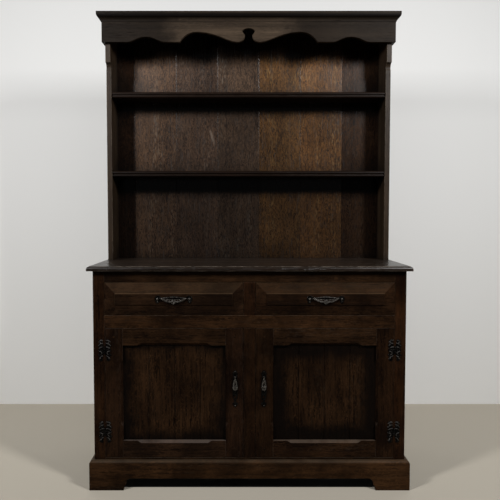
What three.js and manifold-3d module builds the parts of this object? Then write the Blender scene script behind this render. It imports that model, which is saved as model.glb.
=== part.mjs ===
// Welsh dresser in dark oak: a base with two drawers and two cupboards carries an open plate rack.
// Millimetres. +Z is up, the front faces -Y, x = 0 is the middle and z = 0 is the floor.

import * as THREE from 'three';
import { mergeVertices } from 'three/addons/utils/BufferGeometryUtils.js';
import Module from 'manifold-3d';

// Overall sizes
const TOTAL_HEIGHT = 1870;
const WORKTOP_WIDTH = 1220;
const WORKTOP_DEPTH = 410;
const WORKTOP_HEIGHT = 852;
const WORKTOP_THICKNESS = 18;
const WORKTOP_OVERHANG = 20;
const WORKTOP_MOULD_INSET = 9;
const WORKTOP_FILLET = 1.5;
const WORKTOP_LIP = 6;

// Clearances
const JOINT_GAP = 0.3;
const FRONT_GAP = 1.5;

// Base carcass
const BOARD = 18;
const FRAME_THICKNESS = 20;
const OUTER_STILE_WIDTH = 42;
const CENTRE_STILE_WIDTH = 44;
const TOP_RAIL_HEIGHT = 43;
const DRAWER_OPENING_HEIGHT = 126;
const DRAWER_RAIL_HEIGHT = 48;
const BASE_BACK_THICKNESS = 8;
const REBATE_WIDTH = 10;
const CUPBOARD_SHELF_THICKNESS = 16;
const CUPBOARD_SHELF_SETBACK = 60;
const CUPBOARD_SHELF_SHARE = 0.48;

// Plinth
const PLINTH_PROUD = 17;
const PLINTH_FACE_HEIGHT = 101;
const PLINTH_MOULD_HEIGHT = 12;
const PLINTH_MOULD_LEDGE = 5;
const PLINTH_ARCH_HEIGHT = 46;
const FOOT_WIDTH = 129;
const SIDE_FOOT_WIDTH = 96;
const FOOT_BRACKET_WIDTH = 28;

// Doors
const DOOR_STILE_WIDTH = 66.5;
const DOOR_RAIL_WIDTH = 64.5;
const DOOR_THICKNESS = 23;
const PANEL_THICKNESS = 8;
const PANEL_GROOVE_DEPTH = 10;
const PANEL_SETBACK = 11;
const PANEL_BOARDS = 4;
const PANEL_PLAY = 0.6;
const CHAMFER = 9;
const CHAMFER_STOP = 18;
const CHAMFER_END_MARGIN = 52;
const CHAMFER_STEPS = 4;
const CUTTER_MARGIN = 1;

// Drawers
const FIELD_PROUD = 12;
const FIELD_INSET = 42.5;
const FIELD_SHOULDER = 3.5;
const FIELD_DRAUGHT = 1;
const DRAWER_BACK_DEPTH = 18;
const DRAWER_SIDE_THICKNESS = 12;
const DRAWER_LAP = 10;
const DRAWER_SIDE_HEIGHT = 112;
const DRAWER_BACK_CLEARANCE = 37;
const DRAWER_BOTTOM_THICKNESS = 6;
const DRAWER_BOTTOM_LIFT = 10;
const DRAWER_GROOVE_DEPTH = 6;
const RUNNER_THICKNESS = 18;
const RUNNER_WIDTH = 40;
const GUIDE_HEIGHT = 28;

// Plate rack
const RACK_INSET = 18;
const RACK_SIDE_THICKNESS = 20;
const RACK_SIDE_DEPTH = 130;
const RACK_HEAD_DEPTH = 146;
const NOTCH = { belowFrieze: 111, shoulder: 9, throat: 13, height: 34, depth: 3 };
const RACK_BACK_THICKNESS = 10;
const RACK_BOARD_FACE = 182;
const RACK_FIRST_BOARD_FACE = 75;
const SHELF_THICKNESS = 24;
const SHELF_SETBACK = 3;
const SHELF_BEAD = 8;
const UPPER_SHELF_BELOW_FRIEZE = 194;
const LOWER_SHELF_SHARE = 8 / 15;
const V_GROOVE_WIDTH = 6;
const V_GROOVE_DEPTH = 3;

// Frieze and cornice
const FRIEZE_DROP = 119;
const FRIEZE_THICKNESS = 17;
const FRIEZE_RETURN_THICKNESS = 10.5;
const CORNICE_HEIGHT = 38;
const CORNICE_PROUD = 18;
const CORNICE_FILLET = 9;
const CORNICE_COVE = 14;
const CORNICE_STEP = 2;
const FRIEZE_SMALL_ARCH = { centre: 421, halfWidth: 76, height: 21 };
const FRIEZE_BIG_ARCH = { foot: 283, apex: 210, height: 41 };
const FRIEZE_LOBE = { low: 49, neck: 15.5, neckHeight: 28 };
const FRIEZE_KEYHOLE = { halfWidth: 27, pointHeight: 45, height: 56 };

// Curved outlines, as shares of the sizes around them
const FRIEZE_KEYHOLE_CAP_SHARE = 0.6;
const FRIEZE_KEYHOLE_SIDE_SHARES = [0.78, 0.75];
const FRIEZE_LOBE_SIDE_SHARES = [0.9, 0.4];
const FRIEZE_LOBE_FOOT_SHARE = 0.55;
const FRIEZE_LONG_RISE_SHARES = [1.7, 0.65];
const FRIEZE_STEEP_FALL_SHARES = [1.17, 0.94, 0.62];
const FRIEZE_SMALL_ARCH_SHARES = [0.7, 0.5];
const FOOT_BRACKET_SHARES = { waist: 0.3, low: 0.45, high: 0.55 };

// Ironwork
const PLATE_THICKNESS = 2.4;
const HANDLE_REACH = 12;
const PIVOT_STANDOFF = 8;
const PIN_RADIUS = 1.5;
const LUG_RADIUS = 4;
const LUG_WIDTH = 4;
const STRAND_WIDTH = 5;
const STRAND_THICKNESS = 5;
const PIERCING_RADIUS = 2.6;
const BAIL_PLATE = { width: 142, height: 28, bar: 6, pivotHeight: 4 };
const BAIL = { span: 104, drop: 13, armGap: 1, knopRadius: 7.5 };
const DROP_PLATE = { width: 20, height: 140, bar: 4, bossRadius: 8.5, lobeRadius: 5, pivotHeight: 46 };
const DROP = { length: 50, ringRadius: 9 };
const DROP_MARGINS = { inner: 32.5, top: 231 };
const HINGE = { height: 84, leafWidth: 24, thickness: 2, bar: 5, crestRadius: 5.5, tipRadius: 3.5 };
const KNUCKLE = { radius: 3.2, length: 26, middleShare: 1 / 3 };
const HINGE_MARGINS = { upper: 84, lower: 100.5 };

// Outlines of the ironwork, as shares of half its width and half its height
const BAIL_BAR_SHARES = [[-0.91, 0.21], [0, 0.36], [0.91, 0.21]];
const BAIL_SCROLL_SHARES = [[0.66, 0.22], [0.8, 0.8], [0.96, 0.43], [0.92, -0.57]];
const BAIL_BOSS_SHARES = [[0, 0.5], [0.86, -0.64], [-0.86, -0.64]];
const BAIL_STRAND_SHARES = [[0.92, 1.08], [0.57, 0.31], [0.12, 0]];
const DROP_STRAP_SHARES = [[0.4, 0.66], [0.8, 0.17], [0.7, -0.37], [0.2, -0.63]];
const DROP_LOBE_SHARES = [[-0.5, 0.83], [0.5, 0.83], [0, 0.93], [-0.5, -0.83], [0.5, -0.83], [0, -0.93]];
const DROP_STEM_SHARES = [[0, 0.93], [0, 0.57]];
const DROP_BOSS_SHARE = -0.26;
const DROP_HEAD_SHARES = [[0, 0.05], [0, -0.24]];
const DROP_STRAND_SHARES = [[0.13, -0.18], [0.44, -0.4], [0.78, -0.8]];
const LEAF_BAR_SHARE = 0.22;
const LEAF_LOOP_SHARES = [[0.6, 0.22], [0.9, 0], [0.6, -0.22]];
const LEAF_NECK_SHARES = [[0.3, 0.22], [0.58, 0.5], [0.45, 0.8]];
const LEAF_CURL_SHARES = [[0.45, 0.42], [0.74, 0.58], [0.9, 0.42]];
const LEAF_HEAD_SHARES = [[0.45, 0.8], [0.66, 0.92], [0.86, 0.78]];

// Smoothness of curves
const CURVE_STEPS = 6;
const ROUND_SIDES = 12;
const STRIP_STEPS = 4;
const SLIVER = 0.02;

// Derived places. The handles of the drawers stand a little in front of the worktop.
const HANDLE_PROUD = FIELD_PROUD + HANDLE_REACH - WORKTOP_OVERHANG;
const BACK_Y = (WORKTOP_DEPTH + HANDLE_PROUD) / 2;
const WORKTOP_FRONT_Y = BACK_Y - WORKTOP_DEPTH;
const FACE_Y = WORKTOP_FRONT_Y + WORKTOP_OVERHANG;
const FRAME_BACK_Y = FACE_Y + FRAME_THICKNESS;
const BODY_HALF = WORKTOP_WIDTH / 2 - WORKTOP_OVERHANG;
const INSIDE_HALF = BODY_HALF - BOARD;
const BASE_BACK_HALF = INSIDE_HALF + REBATE_WIDTH;
const OPENING_OUTER = BODY_HALF - OUTER_STILE_WIDTH;
const OPENING_INNER = CENTRE_STILE_WIDTH / 2;
const BASE_TOP = WORKTOP_HEIGHT - WORKTOP_THICKNESS;
const DRAWER_TOP = BASE_TOP - TOP_RAIL_HEIGHT;
const DRAWER_FLOOR = DRAWER_TOP - DRAWER_OPENING_HEIGHT;
const DOOR_TOP = DRAWER_FLOOR - DRAWER_RAIL_HEIGHT;
const DOOR_FLOOR = PLINTH_FACE_HEIGHT + BOARD;
const HINGE_CENTRES = {
  upper: DOOR_TOP - HINGE_MARGINS.upper,
  lower: DOOR_FLOOR + HINGE_MARGINS.lower,
};
const DROP_CENTRE = { x: OPENING_INNER + DROP_MARGINS.inner, z: DOOR_TOP - DROP_MARGINS.top };
const BASE_BACK_Y = BACK_Y - BASE_BACK_THICKNESS;
const RACK_HALF = WORKTOP_WIDTH / 2 - RACK_INSET;
const RACK_INSIDE_HALF = RACK_HALF - RACK_SIDE_THICKNESS;
const RACK_BACK_Y = BACK_Y - RACK_BACK_THICKNESS;
const RACK_FRONT_Y = BACK_Y - RACK_SIDE_DEPTH;
const RACK_HEAD_Y = BACK_Y - RACK_HEAD_DEPTH;
const RACK_TOP_Z = TOTAL_HEIGHT - BOARD;
const FRIEZE_BOTTOM = TOTAL_HEIGHT - FRIEZE_DROP;
const UPPER_SHELF_TOP = FRIEZE_BOTTOM - UPPER_SHELF_BELOW_FRIEZE;
const LOWER_SHELF_TOP = WORKTOP_HEIGHT + LOWER_SHELF_SHARE * (UPPER_SHELF_TOP - WORKTOP_HEIGHT);
const NOTCH_LOW = FRIEZE_BOTTOM - NOTCH.belowFrieze;
const NOTCH_THROAT_Y = RACK_FRONT_Y + NOTCH.depth;
const FRIEZE_FRONT_Y = RACK_HEAD_Y - FRIEZE_THICKNESS;
const FRIEZE_HALF = RACK_HALF + FRIEZE_RETURN_THICKNESS;

// Materials
function wood(color) {
  return new THREE.MeshStandardMaterial({ color, roughness: 0.5, metalness: 0 });
}
const baseOak = () => wood(0x2f241a);
const rackOak = () => wood(0x423a31);
const boardOak = () => wood(0x4b4032);
const insideOak = () => wood(0x6b5236);
const iron = () => new THREE.MeshStandardMaterial({ color: 0x2b2a29, roughness: 0.45, metalness: 0.85 });

// Solids and booleans
const wasm = await Module();
wasm.setup();

function toSolid(geometry) {
  const bare = geometry.clone();
  bare.deleteAttribute('normal');
  bare.deleteAttribute('uv');
  const merged = mergeVertices(bare);
  const mesh = new wasm.Mesh({
    numProp: 3,
    vertProperties: new Float32Array(merged.attributes.position.array),
    triVerts: new Uint32Array(merged.index.array),
  });
  return new wasm.Manifold(mesh);
}

// Joins and cuts leave slivers thinner than SLIVER, which are merged away here.
function toGeometry(solid) {
  const mesh = solid.simplify(SLIVER).getMesh();
  const geometry = new THREE.BufferGeometry();
  geometry.setAttribute('position', new THREE.BufferAttribute(mesh.vertProperties, mesh.numProp));
  geometry.setIndex(new THREE.BufferAttribute(mesh.triVerts, 1));
  return geometry;
}

function join(...geometries) {
  const solids = geometries.map(toSolid);
  return toGeometry(solids.reduce((sum, solid) => sum.add(solid)));
}

function cut(geometry, ...cutters) {
  const solid = toSolid(geometry);
  return toGeometry(cutters.map(toSolid).reduce((rest, cutter) => rest.subtract(cutter), solid));
}

// Shape helpers. A span is a pair of ends, low and high.
function block(spanX, spanY, spanZ) {
  const size = [spanX, spanY, spanZ].map(([low, high]) => high - low);
  const middle = [spanX, spanY, spanZ].map(([low, high]) => (low + high) / 2);
  return new THREE.BoxGeometry(...size).translate(...middle);
}

function toShape(outline) {
  return outline instanceof THREE.Shape ? outline : new THREE.Shape(outline);
}

function extruded(outline, [low, high]) {
  const settings = { depth: high - low, bevelEnabled: false, curveSegments: CURVE_STEPS };
  return new THREE.ExtrudeGeometry(toShape(outline), settings).translate(0, 0, low);
}

// The outline's two directions become y and z, and the run goes along x.
function alongX(outline, spanX) {
  const turn = new THREE.Matrix4().makeBasis(
    new THREE.Vector3(0, 1, 0),
    new THREE.Vector3(0, 0, 1),
    new THREE.Vector3(1, 0, 0),
  );
  return extruded(outline, spanX).applyMatrix4(turn);
}

// The outline's two directions are x and z, and the run goes along y.
function alongY(outline, [low, high]) {
  return extruded(outline, [-high, -low]).rotateX(Math.PI / 2);
}

function alongZ(outline, spanZ) {
  return extruded(outline, spanZ);
}

function points(...pairs) {
  return pairs.map(([u, v]) => new THREE.Vector2(u, v));
}

function signedVolume(position, index) {
  const [a, b, c] = [new THREE.Vector3(), new THREE.Vector3(), new THREE.Vector3()];
  let sum = 0;
  for (let i = 0; i < index.length; i += 3) {
    a.fromArray(position, index[i] * 3);
    b.fromArray(position, index[i + 1] * 3);
    c.fromArray(position, index[i + 2] * 3);
    sum += a.dot(b.cross(c));
  }
  return sum;
}

// Skins one outline through several stations. Each station turns an outline point into a place.
function loft(outline, stations) {
  const ring = THREE.ShapeUtils.isClockWise(outline) ? [...outline].reverse() : outline;
  const count = ring.length;
  const position = stations.flatMap((place) => ring.flatMap((point) => place(point.x, point.y)));
  const index = [];
  for (let s = 0; s < stations.length - 1; s += 1) {
    for (let i = 0; i < count; i += 1) {
      const near = s * count + i;
      const next = s * count + ((i + 1) % count);
      index.push(near, next, next + count, near, next + count, near + count);
    }
  }
  const last = (stations.length - 1) * count;
  for (const [a, b, c] of THREE.ShapeUtils.triangulateShape(ring, [])) {
    index.push(c, b, a, last + a, last + b, last + c);
  }
  if (signedVolume(position, index) < 0) index.reverse();
  const geometry = new THREE.BufferGeometry();
  geometry.setAttribute('position', new THREE.Float32BufferAttribute(position, 3));
  geometry.setIndex(index);
  return geometry;
}

// A moulding that runs along the left side, the front and the right side, mitred at the corners.
function mitredRun(profile, halfWidth, frontY, backY) {
  return loft(profile, [
    (out, z) => [-halfWidth - out, backY, z],
    (out, z) => [-halfWidth - out, frontY - out, z],
    (out, z) => [halfWidth + out, frontY - out, z],
    (out, z) => [halfWidth + out, backY, z],
  ]);
}

const UNIT_SQUARE = points([-1, -1], [1, -1], [1, 1], [-1, 1]);

// A quarter of an ellipse from (startU, startV) to (endU, endV), leaving along v or along u.
function quarter(startU, startV, endU, endV, leavesAlongV) {
  const steps = Array.from({ length: CURVE_STEPS + 1 }, (_, i) => (i / CURVE_STEPS) * (Math.PI / 2));
  return steps.map((angle) => {
    const [slow, fast] = [1 - Math.cos(angle), Math.sin(angle)];
    const [shareU, shareV] = leavesAlongV ? [slow, fast] : [fast, slow];
    return new THREE.Vector2(startU + (endU - startU) * shareU, startV + (endV - startV) * shareV);
  });
}

// The outline of a row of boards with a V groove in the front at each joint.
function boardedOutline([left, right], joints, frontY, backY) {
  const front = joints.flatMap((x) => [
    [x - V_GROOVE_WIDTH / 2, frontY],
    [x, frontY + V_GROOVE_DEPTH],
    [x + V_GROOVE_WIDTH / 2, frontY],
  ]);
  return points([left, backY], [left, frontY], ...front, [right, frontY], [right, backY]);
}

// A strip of iron along a smooth curve, as an outline that may taper.
function ribbon(curvePoints, widthStart, widthEnd) {
  const curve = new THREE.SplineCurve(points(...curvePoints));
  const steps = STRIP_STEPS * (curvePoints.length - 1);
  const left = [];
  const right = [];
  for (let i = 0; i <= steps; i += 1) {
    const share = i / steps;
    const point = curve.getPoint(share);
    const along = curve.getTangent(share);
    const half = THREE.MathUtils.lerp(widthStart, widthEnd, share) / 2;
    left.push(new THREE.Vector2(point.x - along.y * half, point.y + along.x * half));
    right.unshift(new THREE.Vector2(point.x + along.y * half, point.y - along.x * half));
  }
  return [...left, ...right];
}

function disc(u, v, radius) {
  return new THREE.Shape().absarc(u, v, radius, 0, Math.PI * 2);
}

// The finished object
const dresser = new THREE.Group();

function add(name, geometry, material) {
  const mesh = new THREE.Mesh(geometry, material);
  mesh.name = name;
  dresser.add(mesh);
}

const SIDES = [['left', -1], ['right', 1]];

function ordered(a, b) {
  return [Math.min(a, b), Math.max(a, b)];
}

function mirrored(side, [near, far]) {
  return side < 0 ? [-far, -near] : [near, far];
}

// Base carcass
function addWorktop() {
  const half = WORKTOP_WIDTH / 2;
  const shoulder = WORKTOP_HEIGHT - WORKTOP_FILLET;
  const middle = BASE_TOP + WORKTOP_LIP;
  const edge = [
    ...quarter(WORKTOP_FILLET, BASE_TOP, 0, BASE_TOP + WORKTOP_FILLET, false),
    ...quarter(0, middle, WORKTOP_MOULD_INSET - WORKTOP_FILLET, shoulder, true),
  ];
  edge.push(new THREE.Vector2(WORKTOP_MOULD_INSET, WORKTOP_HEIGHT));
  const stations = edge.map(({ x: inset, y: z }) => (u, v) => {
    const y = v > 0 ? BACK_Y : WORKTOP_FRONT_Y + inset;
    return [u * (half - inset), y, z];
  });
  add('worktop', loft(UNIT_SQUARE, stations), baseOak());
}

function addEnd(name, side) {
  const outline = points(
    [side * BODY_HALF, FRAME_BACK_Y],
    [side * BODY_HALF, BACK_Y],
    [side * BASE_BACK_HALF, BACK_Y],
    [side * BASE_BACK_HALF, BASE_BACK_Y],
    [side * INSIDE_HALF, BASE_BACK_Y],
    [side * INSIDE_HALF, FRAME_BACK_Y],
  );
  add(`end_${name}`, alongZ(outline, [0, BASE_TOP]), baseOak());
}

function addFrontFrame() {
  const depth = [FACE_Y, FRAME_BACK_Y];
  const across = [-OPENING_OUTER, OPENING_OUTER];
  const centre = [-OPENING_INNER, OPENING_INNER];
  for (const [name, side] of SIDES) {
    const width = mirrored(side, [OPENING_OUTER, BODY_HALF]);
    add(`stile_${name}`, block(width, depth, [0, BASE_TOP]), baseOak());
  }
  add('top_rail', block(across, depth, [DRAWER_TOP, BASE_TOP]), baseOak());
  add('drawer_rail', block(across, depth, [DOOR_TOP, DRAWER_FLOOR]), baseOak());
  add('drawer_muntin', block(centre, depth, [DRAWER_FLOOR, DRAWER_TOP]), baseOak());
  add('centre_stile', block(centre, depth, [DOOR_FLOOR, DOOR_TOP]), baseOak());
}

function addCupboardBottom() {
  const outline = points(
    [-OPENING_OUTER, FACE_Y],
    [OPENING_OUTER, FACE_Y],
    [OPENING_OUTER, FRAME_BACK_Y],
    [INSIDE_HALF, FRAME_BACK_Y],
    [INSIDE_HALF, BASE_BACK_Y],
    [-INSIDE_HALF, BASE_BACK_Y],
    [-INSIDE_HALF, FRAME_BACK_Y],
    [-OPENING_OUTER, FRAME_BACK_Y],
  );
  add('cupboard_bottom', alongZ(outline, [PLINTH_FACE_HEIGHT, DOOR_FLOOR]), baseOak());
}

function addCupboardShelf() {
  const z = THREE.MathUtils.lerp(DOOR_FLOOR, DOOR_TOP, CUPBOARD_SHELF_SHARE);
  const depth = [FACE_Y + CUPBOARD_SHELF_SETBACK, BASE_BACK_Y];
  const height = [z - CUPBOARD_SHELF_THICKNESS, z];
  add('cupboard_shelf', block([-INSIDE_HALF, INSIDE_HALF], depth, height), insideOak());
}

function addBaseBack() {
  const width = [-BASE_BACK_HALF, BASE_BACK_HALF];
  add('base_back', block(width, [BASE_BACK_Y, BACK_Y], [PLINTH_FACE_HEIGHT, BASE_TOP]), insideOak());
}

// A flat frame under the drawers, with guides that keep the drawer sides straight.
function addRunnerFrame() {
  const height = [DRAWER_FLOOR - RUNNER_THICKNESS, DRAWER_FLOOR];
  const depth = [FRAME_BACK_Y, BASE_BACK_Y];
  const holeY = [FRAME_BACK_Y + RUNNER_WIDTH, BASE_BACK_Y - RUNNER_WIDTH];
  const holeZ = [height[0] - CUTTER_MARGIN, height[1] + CUTTER_MARGIN];
  const guideZ = [DRAWER_FLOOR - RUNNER_THICKNESS / 2, DRAWER_FLOOR + GUIDE_HEIGHT];
  const holes = SIDES.map(([, side]) => {
    const holeX = mirrored(side, [OPENING_INNER + RUNNER_WIDTH, OPENING_OUTER - RUNNER_WIDTH]);
    return block(holeX, holeY, holeZ);
  });
  const guides = SIDES.map(([, side]) => block(mirrored(side, [OPENING_OUTER, INSIDE_HALF]), depth, guideZ));
  guides.push(block([-OPENING_INNER, OPENING_INNER], depth, guideZ));
  const frame = cut(block([-INSIDE_HALF, INSIDE_HALF], depth, height), ...holes);
  add('drawer_runner_frame', join(frame, ...guides), insideOak());
}

// Half of a plinth arch, from the foot's inner corner up to the rail, on one side of its middle.
function bracketCurve(middle, footEdge, direction) {
  const foot = middle + footEdge;
  const rail = foot - direction * FOOT_BRACKET_WIDTH;
  const waist = foot - direction * FOOT_BRACKET_WIDTH * FOOT_BRACKET_SHARES.waist;
  const low = PLINTH_ARCH_HEIGHT * FOOT_BRACKET_SHARES.low;
  const high = PLINTH_ARCH_HEIGHT * FOOT_BRACKET_SHARES.high;
  return [
    new THREE.Vector2(foot, -CUTTER_MARGIN),
    ...quarter(foot, 0, waist, low, true),
    ...quarter(waist, high, rail, PLINTH_ARCH_HEIGHT, true),
  ];
}

function archOutline(low, high) {
  const middle = (low + high) / 2;
  const half = (high - low) / 2;
  return [...bracketCurve(middle, -half, -1), ...bracketCurve(middle, half, 1).reverse()];
}

function addPlinth() {
  const top = PLINTH_FACE_HEIGHT + PLINTH_MOULD_HEIGHT;
  const profile = [
    ...points([0, 0], [PLINTH_PROUD, 0]),
    ...quarter(PLINTH_PROUD, PLINTH_FACE_HEIGHT, PLINTH_MOULD_LEDGE, top, true),
    ...points([0, top]),
  ];
  const run = mitredRun(profile, BODY_HALF, FACE_Y, BACK_Y);
  const outerHalf = BODY_HALF + PLINTH_PROUD;
  const frontY = FACE_Y - PLINTH_PROUD;
  const frontArch = archOutline(-outerHalf + FOOT_WIDTH, outerHalf - FOOT_WIDTH);
  const sideArch = archOutline(frontY + SIDE_FOOT_WIDTH, BACK_Y - SIDE_FOOT_WIDTH);
  const throughFront = [frontY - CUTTER_MARGIN, FACE_Y + CUTTER_MARGIN];
  const throughSides = [-outerHalf - CUTTER_MARGIN, outerHalf + CUTTER_MARGIN];
  add('plinth', cut(run, alongY(frontArch, throughFront), alongX(sideArch, throughSides)), baseOak());
}

// Doors
function chamferCutter(length, place) {
  const outline = points([0, 0], [1, 0], [0, 1]);
  const ends = Array.from({ length: CHAMFER_STEPS + 1 }, (_, i) => i / CHAMFER_STEPS);
  const rising = ends.map((share) => [share * CHAMFER_STOP, THREE.MathUtils.smoothstep(share, 0, 1) * CHAMFER]);
  const falling = rising.map(([along, size]) => [length - along, size]).reverse();
  const stations = [...rising, ...falling].map(([along, size]) => (u, v) => {
    const reach = size + CUTTER_MARGIN + CUTTER_MARGIN;
    return place(u * reach - CUTTER_MARGIN, v * reach - CUTTER_MARGIN, along);
  });
  return loft(outline, stations);
}

function doorSizes(side) {
  const [near, far] = [OPENING_INNER + FRONT_GAP, OPENING_OUTER - FRONT_GAP];
  return {
    near: side * near,
    far: side * far,
    panelNear: side * (near + DOOR_STILE_WIDTH),
    panelFar: side * (far - DOOR_STILE_WIDTH),
    bottom: DOOR_FLOOR + FRONT_GAP,
    top: DOOR_TOP - FRONT_GAP,
    panelBottom: DOOR_FLOOR + FRONT_GAP + DOOR_RAIL_WIDTH,
    panelTop: DOOR_TOP - FRONT_GAP - DOOR_RAIL_WIDTH,
  };
}

const DOOR_BACK_Y = FACE_Y + DOOR_THICKNESS;
const GROOVE_Y = [FACE_Y + PANEL_SETBACK - JOINT_GAP, FACE_Y + PANEL_SETBACK + PANEL_THICKNESS + JOINT_GAP];
const TENON_Y = [GROOVE_Y[0] + JOINT_GAP, GROOVE_Y[1] - JOINT_GAP];
const TENON_LENGTH = PANEL_GROOVE_DEPTH - JOINT_GAP;

// inward points from the stile into the panel, along x
function doorStile(outerX, innerX, inward, door) {
  const grooveX = innerX - inward * PANEL_GROOVE_DEPTH;
  const outline = points(
    [outerX, FACE_Y],
    [innerX, FACE_Y],
    [innerX, GROOVE_Y[0]],
    [grooveX, GROOVE_Y[0]],
    [grooveX, GROOVE_Y[1]],
    [innerX, GROOVE_Y[1]],
    [innerX, DOOR_BACK_Y],
    [outerX, DOOR_BACK_Y],
  );
  const low = door.panelBottom + CHAMFER_END_MARGIN;
  const length = door.panelTop - CHAMFER_END_MARGIN - low;
  const chamfer = chamferCutter(length, (u, v, along) => [innerX - inward * u, FACE_Y + v, low + along]);
  return cut(alongZ(outline, [door.bottom, door.top]), chamfer);
}

// inward points from the rail into the panel, along z
function doorRail(outerZ, innerZ, inward, door) {
  const grooveZ = innerZ - inward * PANEL_GROOVE_DEPTH;
  const outline = points(
    [FACE_Y, outerZ],
    [FACE_Y, innerZ],
    [GROOVE_Y[0], innerZ],
    [GROOVE_Y[0], grooveZ],
    [GROOVE_Y[1], grooveZ],
    [GROOVE_Y[1], innerZ],
    [DOOR_BACK_Y, innerZ],
    [DOOR_BACK_Y, outerZ],
  );
  const [left, right] = ordered(door.panelNear, door.panelFar);
  const low = left + CHAMFER_END_MARGIN;
  const length = right - CHAMFER_END_MARGIN - low;
  const chamfer = chamferCutter(length, (u, v, along) => [low + along, FACE_Y + v, innerZ - inward * u]);
  const tenonZ = ordered(outerZ, grooveZ);
  const tenon = block([left - TENON_LENGTH, right + TENON_LENGTH], TENON_Y, tenonZ);
  return join(cut(alongX(outline, [left, right]), chamfer), tenon);
}

function doorPanel(door) {
  const tongue = PANEL_GROOVE_DEPTH - PANEL_PLAY;
  const [left, right] = ordered(door.panelNear, door.panelFar);
  const boardWidth = (right - left) / PANEL_BOARDS;
  const joints = Array.from({ length: PANEL_BOARDS - 1 }, (_, i) => left + boardWidth * (i + 1));
  const outline = boardedOutline([left - tongue, right + tongue], joints, TENON_Y[0], TENON_Y[1]);
  return alongZ(outline, [door.panelBottom - tongue, door.panelTop + tongue]);
}

function addDoor(name, side) {
  const door = doorSizes(side);
  const lowRail = doorRail(door.bottom, door.panelBottom, 1, door);
  const highRail = doorRail(door.top, door.panelTop, -1, door);
  add(`door_${name}_hinge_stile`, doorStile(door.far, door.panelFar, -side, door), baseOak());
  add(`door_${name}_meeting_stile`, doorStile(door.near, door.panelNear, side, door), baseOak());
  add(`door_${name}_top_rail`, highRail, baseOak());
  add(`door_${name}_bottom_rail`, lowRail, baseOak());
  add(`door_${name}_panel`, doorPanel(door), baseOak());
}

// Drawers
function drawerSizes(side) {
  const [near, far] = [OPENING_INNER + FRONT_GAP, OPENING_OUTER - FRONT_GAP];
  return {
    left: side < 0 ? -far : near,
    right: side < 0 ? -near : far,
    bottom: DRAWER_FLOOR + FRONT_GAP,
    top: DRAWER_TOP - FRONT_GAP,
    boxBottom: DRAWER_FLOOR + JOINT_GAP,
    frontBackY: FACE_Y + DRAWER_BACK_DEPTH,
    backY: BASE_BACK_Y - DRAWER_BACK_CLEARANCE,
  };
}

function drawerBottomPlace(drawer) {
  const low = drawer.boxBottom + DRAWER_BOTTOM_LIFT;
  const high = low + DRAWER_BOTTOM_THICKNESS;
  return { panel: [low, high], groove: [low - JOINT_GAP, high + JOINT_GAP] };
}

// A raised and fielded front: a mitred bevel rises from the edges to a flat field.
function drawerFront(drawer) {
  const [halfX, halfZ] = [(drawer.right - drawer.left) / 2, (drawer.top - drawer.bottom) / 2];
  const [midX, midZ] = [(drawer.right + drawer.left) / 2, (drawer.top + drawer.bottom) / 2];
  const bevelInset = FIELD_INSET - FRONT_GAP;
  const sections = points(
    [0, drawer.frontBackY],
    [0, FACE_Y],
    [bevelInset - FIELD_DRAUGHT, FACE_Y - FIELD_PROUD + FIELD_SHOULDER],
    [bevelInset, FACE_Y - FIELD_PROUD],
  );
  const stations = sections.map(({ x: inset, y }) => (u, v) => [
    midX + u * (halfX - inset),
    y,
    midZ + v * (halfZ - inset),
  ]);
  return loft(UNIT_SQUARE, stations);
}

function addDrawer(name, side) {
  const drawer = drawerSizes(side);
  const bottom = drawerBottomPlace(drawer);
  const lapY = drawer.frontBackY - DRAWER_LAP;
  const behindFront = drawer.frontBackY + CUTTER_MARGIN;
  const insideX = [drawer.left + DRAWER_SIDE_THICKNESS, drawer.right - DRAWER_SIDE_THICKNESS];
  const sideZ = [drawer.boxBottom, drawer.boxBottom + DRAWER_SIDE_HEIGHT];
  const lapZ = [sideZ[0] - CUTTER_MARGIN, sideZ[1] + JOINT_GAP];
  const grooveX = [insideX[0] - DRAWER_GROOVE_DEPTH, insideX[1] + DRAWER_GROOVE_DEPTH];
  const grooveFrontY = drawer.frontBackY - DRAWER_GROOVE_DEPTH;
  const tongue = DRAWER_GROOVE_DEPTH - JOINT_GAP;
  const groove = block(grooveX, [grooveFrontY, drawer.backY + CUTTER_MARGIN], bottom.groove);
  const laps = [
    block([drawer.left - CUTTER_MARGIN, insideX[0] + JOINT_GAP], [lapY, behindFront], lapZ),
    block([insideX[1] - JOINT_GAP, drawer.right + CUTTER_MARGIN], [lapY, behindFront], lapZ),
  ];
  add(`drawer_${name}_front`, cut(drawerFront(drawer), ...laps, groove), baseOak());
  const sideBoards = { left: [drawer.left, insideX[0]], right: [insideX[1], drawer.right] };
  for (const [board, spanX] of Object.entries(sideBoards)) {
    const body = block(spanX, [lapY, drawer.backY], sideZ);
    add(`drawer_${name}_side_${board}`, cut(body, groove), insideOak());
  }
  const backSpanY = [drawer.backY - DRAWER_SIDE_THICKNESS, drawer.backY];
  add(`drawer_${name}_back`, block(insideX, backSpanY, [bottom.panel[1], sideZ[1]]), insideOak());
  const panelX = [insideX[0] - tongue, insideX[1] + tongue];
  const panelY = [drawer.frontBackY - tongue, drawer.backY];
  add(`drawer_${name}_bottom`, block(panelX, panelY, bottom.panel), insideOak());
}

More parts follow.
